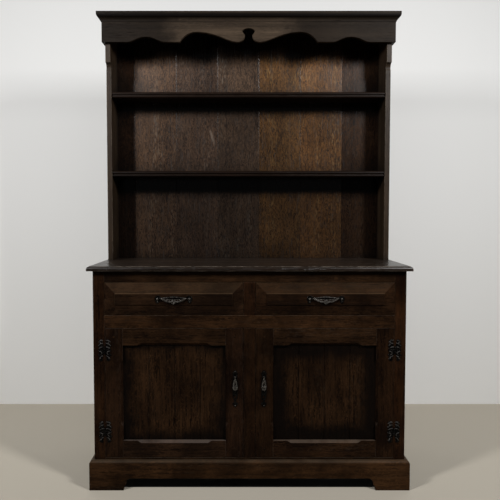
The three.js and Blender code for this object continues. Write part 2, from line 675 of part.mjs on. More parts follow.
// Plate rack
function addRackSide(name, side) {
  const outline = [
    ...points([BACK_Y, WORKTOP_HEIGHT], [RACK_FRONT_Y, WORKTOP_HEIGHT], [RACK_FRONT_Y, NOTCH_LOW]),
    ...quarter(RACK_FRONT_Y, NOTCH_LOW, NOTCH_THROAT_Y, NOTCH_LOW + NOTCH.shoulder, true),
    ...quarter(NOTCH_THROAT_Y, NOTCH_LOW + NOTCH.throat, RACK_HEAD_Y, NOTCH_LOW + NOTCH.height, true),
    ...points([RACK_HEAD_Y, RACK_TOP_Z], [BACK_Y, RACK_TOP_Z]),
  ];
  const rebateX = mirrored(side, [RACK_INSIDE_HALF - CUTTER_MARGIN, RACK_INSIDE_HALF + REBATE_WIDTH]);
  const rebateZ = [WORKTOP_HEIGHT - CUTTER_MARGIN, RACK_TOP_Z + CUTTER_MARGIN];
  const rebate = block(rebateX, [RACK_BACK_Y, BACK_Y + CUTTER_MARGIN], rebateZ);
  const body = alongX(outline, mirrored(side, [RACK_INSIDE_HALF, RACK_HALF]));
  add(`rack_side_${name}`, cut(body, rebate), rackOak());
}

// The shelf's front edge has a rounded top arris, a groove and a bead.
function addRackShelf(name, top) {
  const frontY = RACK_FRONT_Y + SHELF_SETBACK;
  const bottom = top - SHELF_THICKNESS;
  const bead = SHELF_BEAD;
  const groove = bead / 2;
  const neck = bottom + bead;
  const profile = [
    ...points([RACK_BACK_Y, bottom]),
    ...quarter(frontY + groove, bottom, frontY, bottom + groove, false),
    ...quarter(frontY, bottom + groove, frontY + groove, neck, true),
    ...quarter(frontY + groove, neck + groove, frontY, neck + bead, false),
    ...quarter(frontY, top - bead, frontY + bead, top, true),
    ...points([RACK_BACK_Y, top]),
  ];
  add(name, alongX(profile, [-RACK_INSIDE_HALF, RACK_INSIDE_HALF]), rackOak());
}

function addRackBack() {
  const half = RACK_INSIDE_HALF + REBATE_WIDTH;
  const joints = [];
  const lastJoint = RACK_INSIDE_HALF - V_GROOVE_WIDTH;
  for (let x = -RACK_INSIDE_HALF + RACK_FIRST_BOARD_FACE; x < lastJoint; x += RACK_BOARD_FACE) {
    joints.push(x);
  }
  const outline = boardedOutline([-half, half], joints, RACK_BACK_Y, BACK_Y);
  add('rack_back', alongZ(outline, [WORKTOP_HEIGHT, RACK_TOP_Z]), boardOak());
}

function addRackTop() {
  const depth = [RACK_HEAD_Y, BACK_Y];
  add('rack_top', block([-RACK_HALF, RACK_HALF], depth, [RACK_TOP_Z, TOTAL_HEIGHT]), rackOak());
}

// The right half of the frieze's lower edge, from the middle to the end.
function friezeHalf() {
  const { centre, halfWidth, height } = FRIEZE_SMALL_ARCH;
  const [lobe, big, keyhole] = [FRIEZE_LOBE, FRIEZE_BIG_ARCH, FRIEZE_KEYHOLE];
  const [sideX, sideZ] = FRIEZE_KEYHOLE_SIDE_SHARES;
  const [neckX, neckZ] = FRIEZE_LOBE_SIDE_SHARES;
  const [leaveLobe, reachApex] = FRIEZE_LONG_RISE_SHARES;
  const [leaveApex, reachFoot, footZ] = FRIEZE_STEEP_FALL_SHARES;
  const [flare, crown] = FRIEZE_SMALL_ARCH_SHARES.map((share) => share * halfWidth);
  const path = new THREE.Path();
  path.moveTo(0, keyhole.height);
  const capX = keyhole.halfWidth * FRIEZE_KEYHOLE_CAP_SHARE;
  path.quadraticCurveTo(capX, keyhole.height, keyhole.halfWidth, keyhole.pointHeight);
  const hollow = [keyhole.halfWidth * sideX, keyhole.pointHeight * sideZ];
  path.quadraticCurveTo(...hollow, lobe.neck, lobe.neckHeight);
  const lobeSide = [lobe.neck * neckX, lobe.neckHeight * neckZ];
  path.bezierCurveTo(...lobeSide, lobe.low * FRIEZE_LOBE_FOOT_SHARE, 0, lobe.low, 0);
  path.bezierCurveTo(lobe.low * leaveLobe, 0, big.apex * reachApex, big.height, big.apex, big.height);
  const shoulder = [big.apex * leaveApex, big.height, big.foot * reachFoot, big.height * footZ];
  path.bezierCurveTo(...shoulder, big.foot, 0);
  path.lineTo(centre - halfWidth, 0);
  path.bezierCurveTo(centre - flare, 0, centre - crown, height, centre, height);
  path.bezierCurveTo(centre + crown, height, centre + flare, 0, centre + halfWidth, 0);
  path.lineTo(FRIEZE_HALF, 0);
  return path.getPoints(CURVE_STEPS);
}

function addFrieze() {
  const right = friezeHalf().map((p) => new THREE.Vector2(p.x, p.y + FRIEZE_BOTTOM));
  const left = right.slice(1).map((p) => new THREE.Vector2(-p.x, p.y)).reverse();
  const top = points([FRIEZE_HALF, TOTAL_HEIGHT], [-FRIEZE_HALF, TOTAL_HEIGHT]);
  add('frieze', alongY([...left, ...right, ...top], [FRIEZE_FRONT_Y, RACK_HEAD_Y]), rackOak());
  for (const [name, side] of SIDES) {
    const width = mirrored(side, [RACK_HALF, FRIEZE_HALF]);
    const body = block(width, [RACK_HEAD_Y, BACK_Y], [FRIEZE_BOTTOM, TOTAL_HEIGHT]);
    add(`frieze_return_${name}`, body, rackOak());
  }
}

function addCornice() {
  const bottom = TOTAL_HEIGHT - CORNICE_HEIGHT;
  const coveTop = bottom + CORNICE_COVE;
  const filletBottom = TOTAL_HEIGHT - CORNICE_FILLET;
  const [foot, waist] = [CORNICE_STEP, CORNICE_PROUD / 2];
  const profile = [
    ...points([0, bottom], [foot, bottom]),
    ...quarter(foot, bottom + foot, waist, coveTop, true),
    ...quarter(waist + foot, coveTop + foot, CORNICE_PROUD, filletBottom, false),
    ...points([CORNICE_PROUD, TOTAL_HEIGHT], [0, TOTAL_HEIGHT]),
  ];
  add('cornice', mitredRun(profile, FRIEZE_HALF, FRIEZE_FRONT_Y, BACK_Y), rackOak());
}

// Ironwork. Each piece is drawn around its own middle, flat on the face at y = 0, then placed.
function cylinderX(radius, spanX, y, z) {
  const geometry = new THREE.CylinderGeometry(radius, radius, spanX[1] - spanX[0], ROUND_SIDES);
  return geometry.rotateZ(Math.PI / 2).translate((spanX[0] + spanX[1]) / 2, y, z);
}

function cylinderZ(radius, [low, high], x, y) {
  const geometry = new THREE.CylinderGeometry(radius, radius, high - low, ROUND_SIDES);
  return geometry.rotateX(Math.PI / 2).translate(x, y, (low + high) / 2);
}

function scaled(shares, halfWidth, halfHeight) {
  return shares.map(([u, v]) => [u * halfWidth, v * halfHeight]);
}

function flipped(pairs, flipU, flipV) {
  return pairs.map(([u, v]) => [u * flipU, v * flipV]);
}

// A lug stands on the plate and takes the end of a pin that lies along x.
function lug(x, z) {
  const spanX = [x - LUG_WIDTH / 2, x + LUG_WIDTH / 2];
  const stalk = block(spanX, [-PIVOT_STANDOFF, -PLATE_THICKNESS / 2], [z - LUG_RADIUS, z + LUG_RADIUS]);
  return join(stalk, cylinderX(LUG_RADIUS, spanX, -PIVOT_STANDOFF, z));
}

function lugHole(x, z) {
  const reach = LUG_WIDTH / 2 + CUTTER_MARGIN;
  return cylinderX(PIN_RADIUS + JOINT_GAP, [x - reach, x + reach], -PIVOT_STANDOFF, z);
}

const PLATE_Y = [-PLATE_THICKNESS, 0];
const THROUGH_Y = [-HANDLE_REACH - CUTTER_MARGIN, CUTTER_MARGIN];
const STRAND_Y = [-PIVOT_STANDOFF - STRAND_THICKNESS / 2, -PIVOT_STANDOFF + STRAND_THICKNESS / 2];
const KNOP_Y = [-HANDLE_REACH, STRAND_Y[1]];

function onPlate(outline) {
  return alongY(outline, PLATE_Y);
}

// Drawer pull: a bar with scrolled ends, and a swinging bail with a pierced knop.
function bailPlate() {
  const { width, height, bar, pivotHeight } = BAIL_PLATE;
  const bosses = scaled(BAIL_BOSS_SHARES, width / 2, height / 2);
  const scroll = scaled(BAIL_SCROLL_SHARES, width / 2, height / 2);
  const pieces = [onPlate(ribbon(scaled(BAIL_BAR_SHARES, width / 2, height / 2), bar, bar))];
  for (const [u, v] of bosses) pieces.push(onPlate(disc(u, v, bar)));
  for (const [, side] of SIDES) {
    pieces.push(onPlate(ribbon(flipped(scroll, side, 1), bar, bar / 2)));
    pieces.push(lug(side * (BAIL.span / 2), pivotHeight));
  }
  const holes = SIDES.map(([, side]) => lugHole(side * (BAIL.span / 2), pivotHeight));
  return cut(join(...pieces), ...holes);
}

function bail() {
  const half = BAIL.span / 2;
  const pinReach = half + LUG_WIDTH / 2;
  const arm = half - LUG_WIDTH / 2 - BAIL.armGap;
  const low = BAIL_PLATE.pivotHeight - BAIL.drop;
  const strand = scaled(BAIL_STRAND_SHARES, arm, BAIL.drop).map(([u, v]) => [u, v + low]);
  const pieces = [alongY(disc(0, low, BAIL.knopRadius), KNOP_Y)];
  for (const [, side] of SIDES) {
    const pinX = mirrored(side, [arm - STRAND_WIDTH, pinReach]);
    pieces.push(cylinderX(PIN_RADIUS, pinX, -PIVOT_STANDOFF, BAIL_PLATE.pivotHeight));
    pieces.push(alongY(ribbon(flipped(strand, side, 1), STRAND_WIDTH, STRAND_WIDTH), STRAND_Y));
  }
  return cut(join(...pieces), alongY(disc(0, low, PIERCING_RADIUS), THROUGH_Y));
}

// Door pull: a tall pierced plate, and a wishbone drop that ends in a ring.
function dropPlate() {
  const { width, height, bar, bossRadius, lobeRadius, pivotHeight } = DROP_PLATE;
  const strap = scaled(DROP_STRAP_SHARES, width / 2, height / 2);
  const stem = scaled(DROP_STEM_SHARES, width / 2, height / 2);
  const bossZ = DROP_BOSS_SHARE * (height / 2);
  const pieces = [onPlate(disc(0, pivotHeight, bossRadius)), onPlate(disc(0, bossZ, bossRadius))];
  for (const [u, v] of scaled(DROP_LOBE_SHARES, width / 2, height / 2)) {
    pieces.push(onPlate(disc(u, v, lobeRadius)));
  }
  for (const [, side] of SIDES) {
    pieces.push(onPlate(ribbon(flipped(strap, side, 1), bar, bar)));
    pieces.push(onPlate(ribbon(flipped(stem, 1, side), bar, bar + STRAND_WIDTH / 2)));
    pieces.push(lug(side * (LUG_WIDTH + JOINT_GAP), pivotHeight));
  }
  const pinHoles = SIDES.map(([, side]) => lugHole(side * (LUG_WIDTH + JOINT_GAP), pivotHeight));
  return cut(join(...pieces), alongY(disc(0, bossZ, PIERCING_RADIUS), THROUGH_Y), ...pinHoles);
}

function drop() {
  const fromPivot = (shares) => scaled(shares, DROP.ringRadius, DROP.length)
    .map(([u, v]) => [u, v + DROP_PLATE.pivotHeight]);
  const ringZ = DROP_PLATE.pivotHeight - DROP.length + DROP.ringRadius;
  const pinReach = LUG_WIDTH + JOINT_GAP + LUG_WIDTH / 2;
  const headWidth = LUG_WIDTH;
  const strand = fromPivot(DROP_STRAND_SHARES);
  const pieces = [
    cylinderX(PIN_RADIUS, [-pinReach, pinReach], -PIVOT_STANDOFF, DROP_PLATE.pivotHeight),
    alongY(ribbon(fromPivot(DROP_HEAD_SHARES), headWidth, headWidth), STRAND_Y),
    alongY(disc(0, ringZ, DROP.ringRadius), KNOP_Y),
  ];
  for (const [, side] of SIDES) {
    pieces.push(alongY(ribbon(flipped(strand, side, 1), DROP_PLATE.bar, STRAND_WIDTH), STRAND_Y));
  }
  return cut(join(...pieces), alongY(disc(0, ringZ, PIERCING_RADIUS), THROUGH_Y));
}

// Hinge leaf: u runs out from the pin, and a curled head stands above and below the knuckle.
function hingeLeafPlate(direction) {
  const [width, half] = [HINGE.leafWidth, HINGE.height / 2];
  const leafY = [-HINGE.thickness, 0];
  const strip = (shares, end, widthStart, widthEnd) => {
    const line = flipped(scaled(shares, width, half), direction, end);
    return alongY(ribbon(line, widthStart, widthEnd), leafY);
  };
  const barEnd = LEAF_LOOP_SHARES[0][0] * width;
  const barX = mirrored(direction, [KNUCKLE.radius - HINGE.thickness / 2, barEnd]);
  const barZ = LEAF_BAR_SHARE * half;
  const pieces = [strip(LEAF_LOOP_SHARES, 1, HINGE.bar, HINGE.bar)];
  for (const end of [-1, 1]) {
    const spanZ = ordered(end * barZ - HINGE.bar / 2, end * barZ + HINGE.bar / 2);
    const [, [crestU, crestV]] = flipped(scaled(LEAF_HEAD_SHARES, width, half), direction, end);
    const [, , [tipU, tipV]] = flipped(scaled(LEAF_CURL_SHARES, width, half), direction, end);
    pieces.push(block(barX, leafY, spanZ));
    pieces.push(strip(LEAF_NECK_SHARES, end, HINGE.bar, HINGE.crestRadius));
    pieces.push(strip(LEAF_CURL_SHARES, end, HINGE.bar, HINGE.tipRadius));
    pieces.push(strip(LEAF_HEAD_SHARES, end, HINGE.crestRadius, HINGE.tipRadius));
    const crestZ = crestV - end * HINGE.crestRadius / 2;
    pieces.push(alongY(disc(crestU - direction * HINGE.tipRadius, crestZ, HINGE.crestRadius), leafY));
    pieces.push(alongY(disc(tipU, tipV, HINGE.tipRadius), leafY));
  }
  return join(...pieces);
}

function hingeFrameLeaf(direction) {
  const half = KNUCKLE.length / 2;
  const middle = half * KNUCKLE.middleShare;
  const clear = KNUCKLE.radius + JOINT_GAP;
  const slotX = ordered(direction * clear, -direction * (clear + CUTTER_MARGIN));
  const slotY = [-KNUCKLE.radius - clear, CUTTER_MARGIN];
  const slot = block(slotX, slotY, [-middle - JOINT_GAP, middle + JOINT_GAP]);
  const barrel = cylinderZ(KNUCKLE.radius, [-half, half], 0, -KNUCKLE.radius);
  const pin = cylinderZ(PIN_RADIUS, [-half, half], 0, -KNUCKLE.radius);
  return join(cut(join(hingeLeafPlate(direction), barrel), slot), pin);
}

function hingeDoorLeaf(direction) {
  const half = KNUCKLE.length / 2;
  const middle = half * KNUCKLE.middleShare;
  const clear = KNUCKLE.radius + JOINT_GAP;
  const tongueEnd = LEAF_LOOP_SHARES[1][0] * HINGE.leafWidth;
  const barrel = cylinderZ(KNUCKLE.radius, [-middle, middle], 0, -KNUCKLE.radius);
  const tongue = block(mirrored(direction, [0, tongueEnd]), [-HINGE.thickness, 0], [-middle / 2, middle / 2]);
  const bore = cylinderZ(PIN_RADIUS + JOINT_GAP, [-half, half], 0, -KNUCKLE.radius);
  const gaps = [-1, 1].map((end) => {
    const spanZ = ordered(end * middle, end * (half + CUTTER_MARGIN));
    return block([-clear, clear], [-KNUCKLE.radius - clear, CUTTER_MARGIN], spanZ);
  });
  return cut(join(cut(hingeLeafPlate(direction), ...gaps), barrel, tongue), bore);
}

function addHinge(name, side, level, z) {
  const x = side * OPENING_OUTER;
  add(`hinge_${name}_${level}_frame_leaf`, hingeFrameLeaf(side).translate(x, FACE_Y, z), iron());
  add(`hinge_${name}_${level}_door_leaf`, hingeDoorLeaf(-side).translate(x, FACE_Y, z), iron());
}

function addPulls(name, side) {
  const drawerX = side * ((OPENING_INNER + OPENING_OUTER) / 2);
  const drawerZ = (DRAWER_TOP + DRAWER_FLOOR) / 2;
  const fieldY = FACE_Y - FIELD_PROUD;
  add(`drawer_${name}_pull_plate`, bailPlate().translate(drawerX, fieldY, drawerZ), iron());
  add(`drawer_${name}_bail`, bail().translate(drawerX, fieldY, drawerZ), iron());
  const doorX = side * DROP_CENTRE.x;
  add(`door_${name}_pull_plate`, dropPlate().translate(doorX, FACE_Y, DROP_CENTRE.z), iron());
  add(`door_${name}_drop`, drop().translate(doorX, FACE_Y, DROP_CENTRE.z), iron());
}

addWorktop();
addFrontFrame();
addCupboardBottom();
addCupboardShelf();
addBaseBack();
addRunnerFrame();
addPlinth();
for (const [name, side] of SIDES) {
  addEnd(name, side);
  addDoor(name, side);
  addDrawer(name, side);
  addRackSide(name, side);
  addPulls(name, side);
  for (const [level, z] of Object.entries(HINGE_CENTRES)) addHinge(name, side, level, z);
}
addRackShelf('upper_shelf', UPPER_SHELF_TOP);
addRackShelf('lower_shelf', LOWER_SHELF_TOP);
addRackBack();
addRackTop();
addFrieze();
addCornice();

export default dresser;
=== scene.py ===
# %% [markdown]
# # A welsh dresser in dark oak
# The solids of the dresser come from a CAD model, with every board at its real size. This lesson
# gives them their looks: the stained and polished oak, the blackened iron, the boarded back of the
# plate rack and the small nails. Lengths are in metres, the front faces -Y and +Z is up.

# %% Load the dresser and keep its size
import math

import bmesh
import bpy
from mathutils import Matrix, Vector


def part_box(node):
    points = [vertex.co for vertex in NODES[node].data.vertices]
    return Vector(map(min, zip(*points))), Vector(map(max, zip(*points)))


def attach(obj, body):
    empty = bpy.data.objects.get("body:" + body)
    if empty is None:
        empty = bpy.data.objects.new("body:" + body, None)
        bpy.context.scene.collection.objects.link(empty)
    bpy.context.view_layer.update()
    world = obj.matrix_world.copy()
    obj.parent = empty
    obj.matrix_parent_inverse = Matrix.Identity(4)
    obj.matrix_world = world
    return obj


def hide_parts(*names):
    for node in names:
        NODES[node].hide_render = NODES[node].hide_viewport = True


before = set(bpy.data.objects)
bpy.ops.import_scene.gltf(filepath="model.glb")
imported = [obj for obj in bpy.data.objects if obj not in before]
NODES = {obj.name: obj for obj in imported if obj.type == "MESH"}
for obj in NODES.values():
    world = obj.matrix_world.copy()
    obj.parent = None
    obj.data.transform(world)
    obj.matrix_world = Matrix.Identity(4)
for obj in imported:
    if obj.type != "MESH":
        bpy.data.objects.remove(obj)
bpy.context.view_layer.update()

MM = 0.001
QUARTER_TURN = math.radians(90)

# %% [markdown]
# ## The camera
# The camera stands about two metres off and a metre above the floor, and looks a little down, so
# the worktop's surface shows. The small shifts only centre the dresser in the frame, as a crop of
# the picture would. The lens is in millimetres.

# %% Place the camera
CAMERA_PLACE = Vector((-0.0419, -2.2453, 1.0525))
CAMERA_TILT_DOWN = math.radians(2.493)
CAMERA_LENS = 39.67
CAMERA_SHIFT = (0.0231, -0.0268)

camera_data = bpy.data.cameras.new("camera")
camera_data.lens = CAMERA_LENS
camera_data.shift_x, camera_data.shift_y = CAMERA_SHIFT
camera = bpy.data.objects.new("camera", camera_data)
camera.location = CAMERA_PLACE
camera.rotation_euler = (QUARTER_TURN - CAMERA_TILT_DOWN, 0, 0)
bpy.context.scene.collection.objects.link(camera)
bpy.context.scene.camera = camera
bpy.context.scene.view_settings.view_transform = "Standard"
print("camera at", [round(value, 3) for value in camera.location])

# %% [markdown]
# ## Small tools for materials
# A material is a tree of nodes. Short helpers keep such a tree readable: one adds a node and feeds
# its inputs, and the others do the same for one step with numbers, with vectors or with places.

# %% Helpers for nodes and arithmetic
X, Y, Z = range(3)


def put(tree, kind, inputs=None, **settings):
    """Adds a node and feeds its inputs with plain values or with other nodes' outputs."""
    node = tree.nodes.new(kind)
    for name, value in settings.items():
        setattr(node, name, value)
    for name, value in (inputs or {}).items():
        if isinstance(value, bpy.types.NodeSocket):
            tree.links.new(value, node.inputs[name])
        else:
            node.inputs[name].default_value = value
    return node


def maths(tree, operation, first, second=0.0, clamp=False):
    """The result of one arithmetic step."""
    terms = {0: first, 1: second}
    return put(tree, "ShaderNodeMath", terms, operation=operation, use_clamp=clamp).outputs[0]


def times(tree, first, second):
    """One mask or value scaled by another."""
    return maths(tree, "MULTIPLY", first, second)


def vector_maths(tree, operation, *terms):
    """The result of one step with vectors, which is a number for a length or a dot product."""
    step = put(tree, "ShaderNodeVectorMath", dict(enumerate(terms)), operation=operation)
    return step.outputs["Value" if operation in ("DOT_PRODUCT", "LENGTH") else "Vector"]


def along(tree, vector, axis):
    """How far a place or a direction reaches along one axis."""
    return put(tree, "ShaderNodeSeparateXYZ", {0: vector}).outputs[axis]


def object_place(tree):
    """The place of each point of the surface."""
    return put(tree, "ShaderNodeTexCoord").outputs["Object"]


def face_direction(tree):
    """The direction in which the surface faces."""
    return put(tree, "ShaderNodeNewGeometry").outputs["Normal"]


print("helpers for nodes ready")

# %% [markdown]
# ## Clouds and mixtures
# Nearly every mask starts as a cloudy noise. The part of it between two levels is stretched to run
# from 0 to 1, which turns a soft cloud into patches with a clear rim. A Mix node then lays one
# number, vector or colour over another. It keeps the sockets of all three kinds side by side, so
# they are told apart by their position.

# %% Helpers for clouds and mixtures
MIX_SOCKETS = {"FLOAT": (2, 3, 0), "VECTOR": (4, 5, 1), "RGBA": (6, 7, 2)}


def mix(tree, kind, share, first, second, how="MIX"):
    """A share of the second value laid over the first."""
    under, over, made = MIX_SOCKETS[kind]
    inputs = {0: share, under: first, over: second}
    return put(tree, "ShaderNodeMix", inputs, data_type=kind, blend_type=how).outputs[made]


def spread(tree, value, low, high, to_low=0.0, to_high=1.0):
    """Stretches the part of a mask between low and high, smoothly and clamped."""
    ends = {"Value": value, "From Min": low, "From Max": high, "To Min": to_low, "To Max": to_high}
    return put(tree, "ShaderNodeMapRange", ends, interpolation_type="SMOOTHSTEP").outputs[0]


def noise(tree, vector, scale, detail=3.0, roughness=0.55, distortion=0.0):
    """A cloudy mask from 0 to 1."""
    look = {"Scale": scale, "Detail": detail, "Roughness": roughness, "Distortion": distortion}
    return put(tree, "ShaderNodeTexNoise", {"Vector": vector, **look}).outputs["Fac"]


def patches(tree, vector, low, high, to_low=0.0, **look):
    """Patches with a soft rim: a noise, spread between two of its levels."""
    return spread(tree, noise(tree, vector, **look), low, high, to_low)


def stretched(tree, vector, stretch):
    """Places for a pattern that is drawn out along each axis with a small share."""
    return put(tree, "ShaderNodeMapping", {"Vector": vector, "Scale": stretch}).outputs[0]


print("helpers for clouds ready")

# %% [markdown]
# ## Shader groups
# A shader group is a tree with named inputs and outputs, so one effect can be placed in many
# materials, each time with other values. One helper starts a group and gives its inner ends, one
# joins what the group has made to its outputs, and one places a finished group in another tree.

# %% Helpers for shader groups
VALUE, COLOUR, DIRECTION = "NodeSocketFloat", "NodeSocketColor", "NodeSocketVector"


def new_group(name, inputs, outputs):
    """A shader group with named sockets; returns it with its inner ends."""
    group = bpy.data.node_groups.new(name, "ShaderNodeTree")
    for end, sockets in (("INPUT", inputs), ("OUTPUT", outputs)):
        for label, kind in sockets.items():
            group.interface.new_socket(label, in_out=end, socket_type=kind)
    start = group.nodes.new("NodeGroupInput")
    finish = group.nodes.new("NodeGroupOutput")
    return group, start.outputs, finish.inputs


def hand_out(group, result, **made):
    """Joins what a group has made to its outputs."""
    for label, value in made.items():
        group.links.new(value, result[label])


def placed(tree, group, **inputs):
    """Places a group in a tree; returns its outputs."""
    return put(tree, "ShaderNodeGroup", inputs, node_tree=group).outputs


print("helpers for groups ready")

# %% [markdown]
# ## Oak figure
# Oak shows four things at once: broad bands where the tree grew fast or slowly, narrow growth rings
# that curl where the cut crosses them, open pores that look like fine dark dashes, and pale flecks
# where the saw cut along the rays. An image would repeat and stretch, so each is a solid pattern
# instead, drawn out along the grain. A regular wave would look like corduroy, so the rings are a
# stretched noise, and the curls are the line where a second noise passes its middle value. The
# mottle input turns the long streaks of the rings into short broken ones, as old boards show them
# where the light has bleached the stain. The grain of the group runs along Z, and end grain then
# appears by itself on the ends of a board.

# %% Build the oak figure group
GRAIN_STRETCH = (1.0, 1.0, 0.055)
PORE_STRETCH = (1.0, 1.0, 0.035)
FLECK_STRETCH = (1.0, 1.0, 0.3)
CURL_STRETCH = (1.0, 1.0, 0.24)
BANDS = dict(low=0.32, high=0.7, scale=14, detail=4, roughness=0.6, distortion=0.4)
LONG_STREAKS = dict(low=0.36, high=0.64, scale=140, roughness=0.6, distortion=0.9)
SHORT_STREAKS = dict(low=0.42, high=0.62, scale=195, detail=2, roughness=0.6, distortion=1.6)
STREAK_WEIGHT = 0.62
CURLS = dict(scale=88, roughness=0.6, distortion=1.7)
CURL_MIDDLE = 0.5
CURL_WIDTH = 0.046
PORES = dict(low=0.55, high=0.68, scale=620, detail=2, roughness=0.5)
PORE_ZONES = dict(low=0.35, high=0.6, scale=70, detail=2)
FLECKS_PER_METRE = 150
FLECK_RIM = dict(low=0.42, high=0.2)
FLECK_ZONES = dict(low=0.5, high=0.68, scale=22, detail=2)

oak_figure, given, result = new_group(
    "oak figure",
    {"Vector": DIRECTION, "Mottle": VALUE},
    {"Bands": VALUE, "Rings": VALUE, "Pores": VALUE, "Flecks": VALUE},
)
drawn_out = stretched(oak_figure, given["Vector"], GRAIN_STRETCH)
wandering = stretched(oak_figure, given["Vector"], CURL_STRETCH)
long_streaks = patches(oak_figure, drawn_out, **LONG_STREAKS)
short_streaks = patches(oak_figure, wandering, **SHORT_STREAKS)
streaks = mix(oak_figure, "FLOAT", given["Mottle"], long_streaks, short_streaks)
off_middle = maths(oak_figure, "SUBTRACT", noise(oak_figure, wandering, **CURLS), CURL_MIDDLE)
curls = spread(oak_figure, maths(oak_figure, "ABSOLUTE", off_middle), low=CURL_WIDTH, high=0.0)
pores = patches(oak_figure, stretched(oak_figure, given["Vector"], PORE_STRETCH), **PORES)
ray_cells = put(
    oak_figure,
    "ShaderNodeTexVoronoi",
    {"Vector": stretched(oak_figure, given["Vector"], FLECK_STRETCH), "Scale": FLECKS_PER_METRE},
    feature="SMOOTH_F1",
)
flecks = spread(oak_figure, ray_cells.outputs["Distance"], **FLECK_RIM)
hand_out(
    oak_figure,
    result,
    Bands=patches(oak_figure, drawn_out, **BANDS),
    Rings=maths(oak_figure, "MAXIMUM", times(oak_figure, streaks, STREAK_WEIGHT), curls),
    Pores=times(oak_figure, pores, patches(oak_figure, drawn_out, **PORE_ZONES)),
    Flecks=times(oak_figure, flecks, patches(oak_figure, drawn_out, **FLECK_ZONES)),
)
print("oak figure has", len(oak_figure.nodes), "nodes")

# %% [markdown]
# ## Worn edges and nooks
# Hands, cloths and brooms rub the stain off the corners of a board, and its inner corners lie in
# shade, which is painted into the colour as darkness. The renderer can tell both apart: a rounded
# copy of the surface direction differs from the flat one only near a corner, and a corner that sees
# little of the sky is a nook. The rounded direction also gives each sharp CAD edge the small radius
# of a sanded board.

# %% Build the worn edge and nook groups
EDGE_SAMPLES, NOOK_SAMPLES = 6, 4
BARE_CORNER = dict(low=0.995, high=0.8)
RUBBED_PATCHES = dict(low=0.38, high=0.62, scale=26, detail=4, roughness=0.65)
LITTLE_SKY = dict(low=0.85, high=0.35)

worn_edge, given, result = new_group(
    "worn edge", {"Radius": VALUE, "Vector": DIRECTION}, {"Mask": VALUE, "Normal": DIRECTION}
)
bevel = put(worn_edge, "ShaderNodeBevel", {"Radius": given["Radius"]}, samples=EDGE_SAMPLES)
rounded = bevel.outputs["Normal"]
alike = vector_maths(worn_edge, "DOT_PRODUCT", rounded, face_direction(worn_edge))
bare = spread(worn_edge, alike, **BARE_CORNER)
rubbed = patches(worn_edge, given["Vector"], **RUBBED_PATCHES)
hand_out(worn_edge, result, Mask=times(worn_edge, bare, rubbed), Normal=rounded)

# The nook mask paints shade into inner corners: the less sky a point sees, the darker it is made.
nook, given, result = new_group("nook", {"Reach": VALUE}, {"Mask": VALUE})
sky = put(nook, "ShaderNodeAmbientOcclusion", {"Distance": given["Reach"]}, samples=NOOK_SAMPLES)
hand_out(nook, result, Mask=spread(nook, sky.outputs["AO"], **LITTLE_SKY))
print("groups", worn_edge.name, "and", nook.name)

# %% [markdown]
# ## Dust and painted sheen on ledges
# Faces that look upward carry a little dust, and the sheen of light on them is painted in as a pale
# grey. Both lie in patches, thick on a level top and thin on a steep face that leans back, such as
# the upper bevel of a drawer front. How far the surface direction points up tells the two apart, so
# no face has to be picked by hand.

# %% Build the dust and sheen ledge group
LEVEL_TOP = dict(low=0.3, high=0.7)
LEANING_FACE = dict(low=0.08, high=0.2, to_high=0.24)
DUST_AND_SHEEN = dict(low=0.25, high=0.6, to_low=0.45, scale=15, detail=4, roughness=0.6)

dust_and_sheen_ledge, given, result = new_group("dust and sheen ledge", {"Vector": DIRECTION}, {"Mask": VALUE})
upward = along(dust_and_sheen_ledge, face_direction(dust_and_sheen_ledge), Z)
level_top = spread(dust_and_sheen_ledge, upward, **LEVEL_TOP)
leaning_face = spread(dust_and_sheen_ledge, upward, **LEANING_FACE)
ledges = maths(dust_and_sheen_ledge, "MAXIMUM", level_top, leaning_face)
dust_and_sheen = patches(dust_and_sheen_ledge, given["Vector"], **DUST_AND_SHEEN)
hand_out(dust_and_sheen_ledge, result, Mask=times(dust_and_sheen_ledge, ledges, dust_and_sheen))
print("dust and sheen ledge has", len(dust_and_sheen_ledge.nodes), "nodes")

# %% [markdown]
# ## The dark rim of a panel
# Inside a frame the sunk panel lies in the frame's shade, so a ragged dark rim is painted along its
# border as shade. The distance from the panel's middle, as a share of its half size, makes such a
# rim, and a cloudy mask breaks its line. The same rim also darkens the ends of the frieze.

# %% Build the dark rim group
RIM_NOISE = dict(scale=9, detail=4, roughness=0.6)
RIM_RAGGEDNESS = 0.55
RIM_FADE = dict(low=0.9, high=1.22)

dark_rim, given, result = new_group(
    "dark rim",
    {"Vector": DIRECTION, "Centre": DIRECTION, "Half": DIRECTION, "Strength": VALUE},
    {"Mask": VALUE},
)
from_middle = vector_maths(dark_rim, "SUBTRACT", given["Vector"], given["Centre"])
as_share = vector_maths(dark_rim, "ABSOLUTE", vector_maths(dark_rim, "DIVIDE", from_middle, given["Half"]))
outermost = maths(dark_rim, "MAXIMUM", along(dark_rim, as_share, X), along(dark_rim, as_share, Z))
ragged = times(dark_rim, noise(dark_rim, given["Vector"], **RIM_NOISE), RIM_RAGGEDNESS)
rim = spread(dark_rim, maths(dark_rim, "ADD", outermost, ragged), **RIM_FADE)
hand_out(dark_rim, result, Mask=times(dark_rim, rim, given["Strength"]))
print("dark rim has", len(dark_rim.nodes), "nodes")

# %% [markdown]
# ## Painted shadows under the shelves
# The frieze and each shelf shade the back boards below them, and that shadow is painted into the
# boards' colour as a nearly black strip. A strip is dark for some way below its cover and then
# clears over a fade. A noise makes its lower line uneven. Its upper end lies a few millimetres above
# the shelf that covers it, so the bay above stays as it is.

# %% Build the painted shadow strip group
STRIP_NOISE = dict(scale=14, detail=2)
STRIP_UNEVENNESS = 12 * MM
STRIP_OVERLAP = 30 * MM

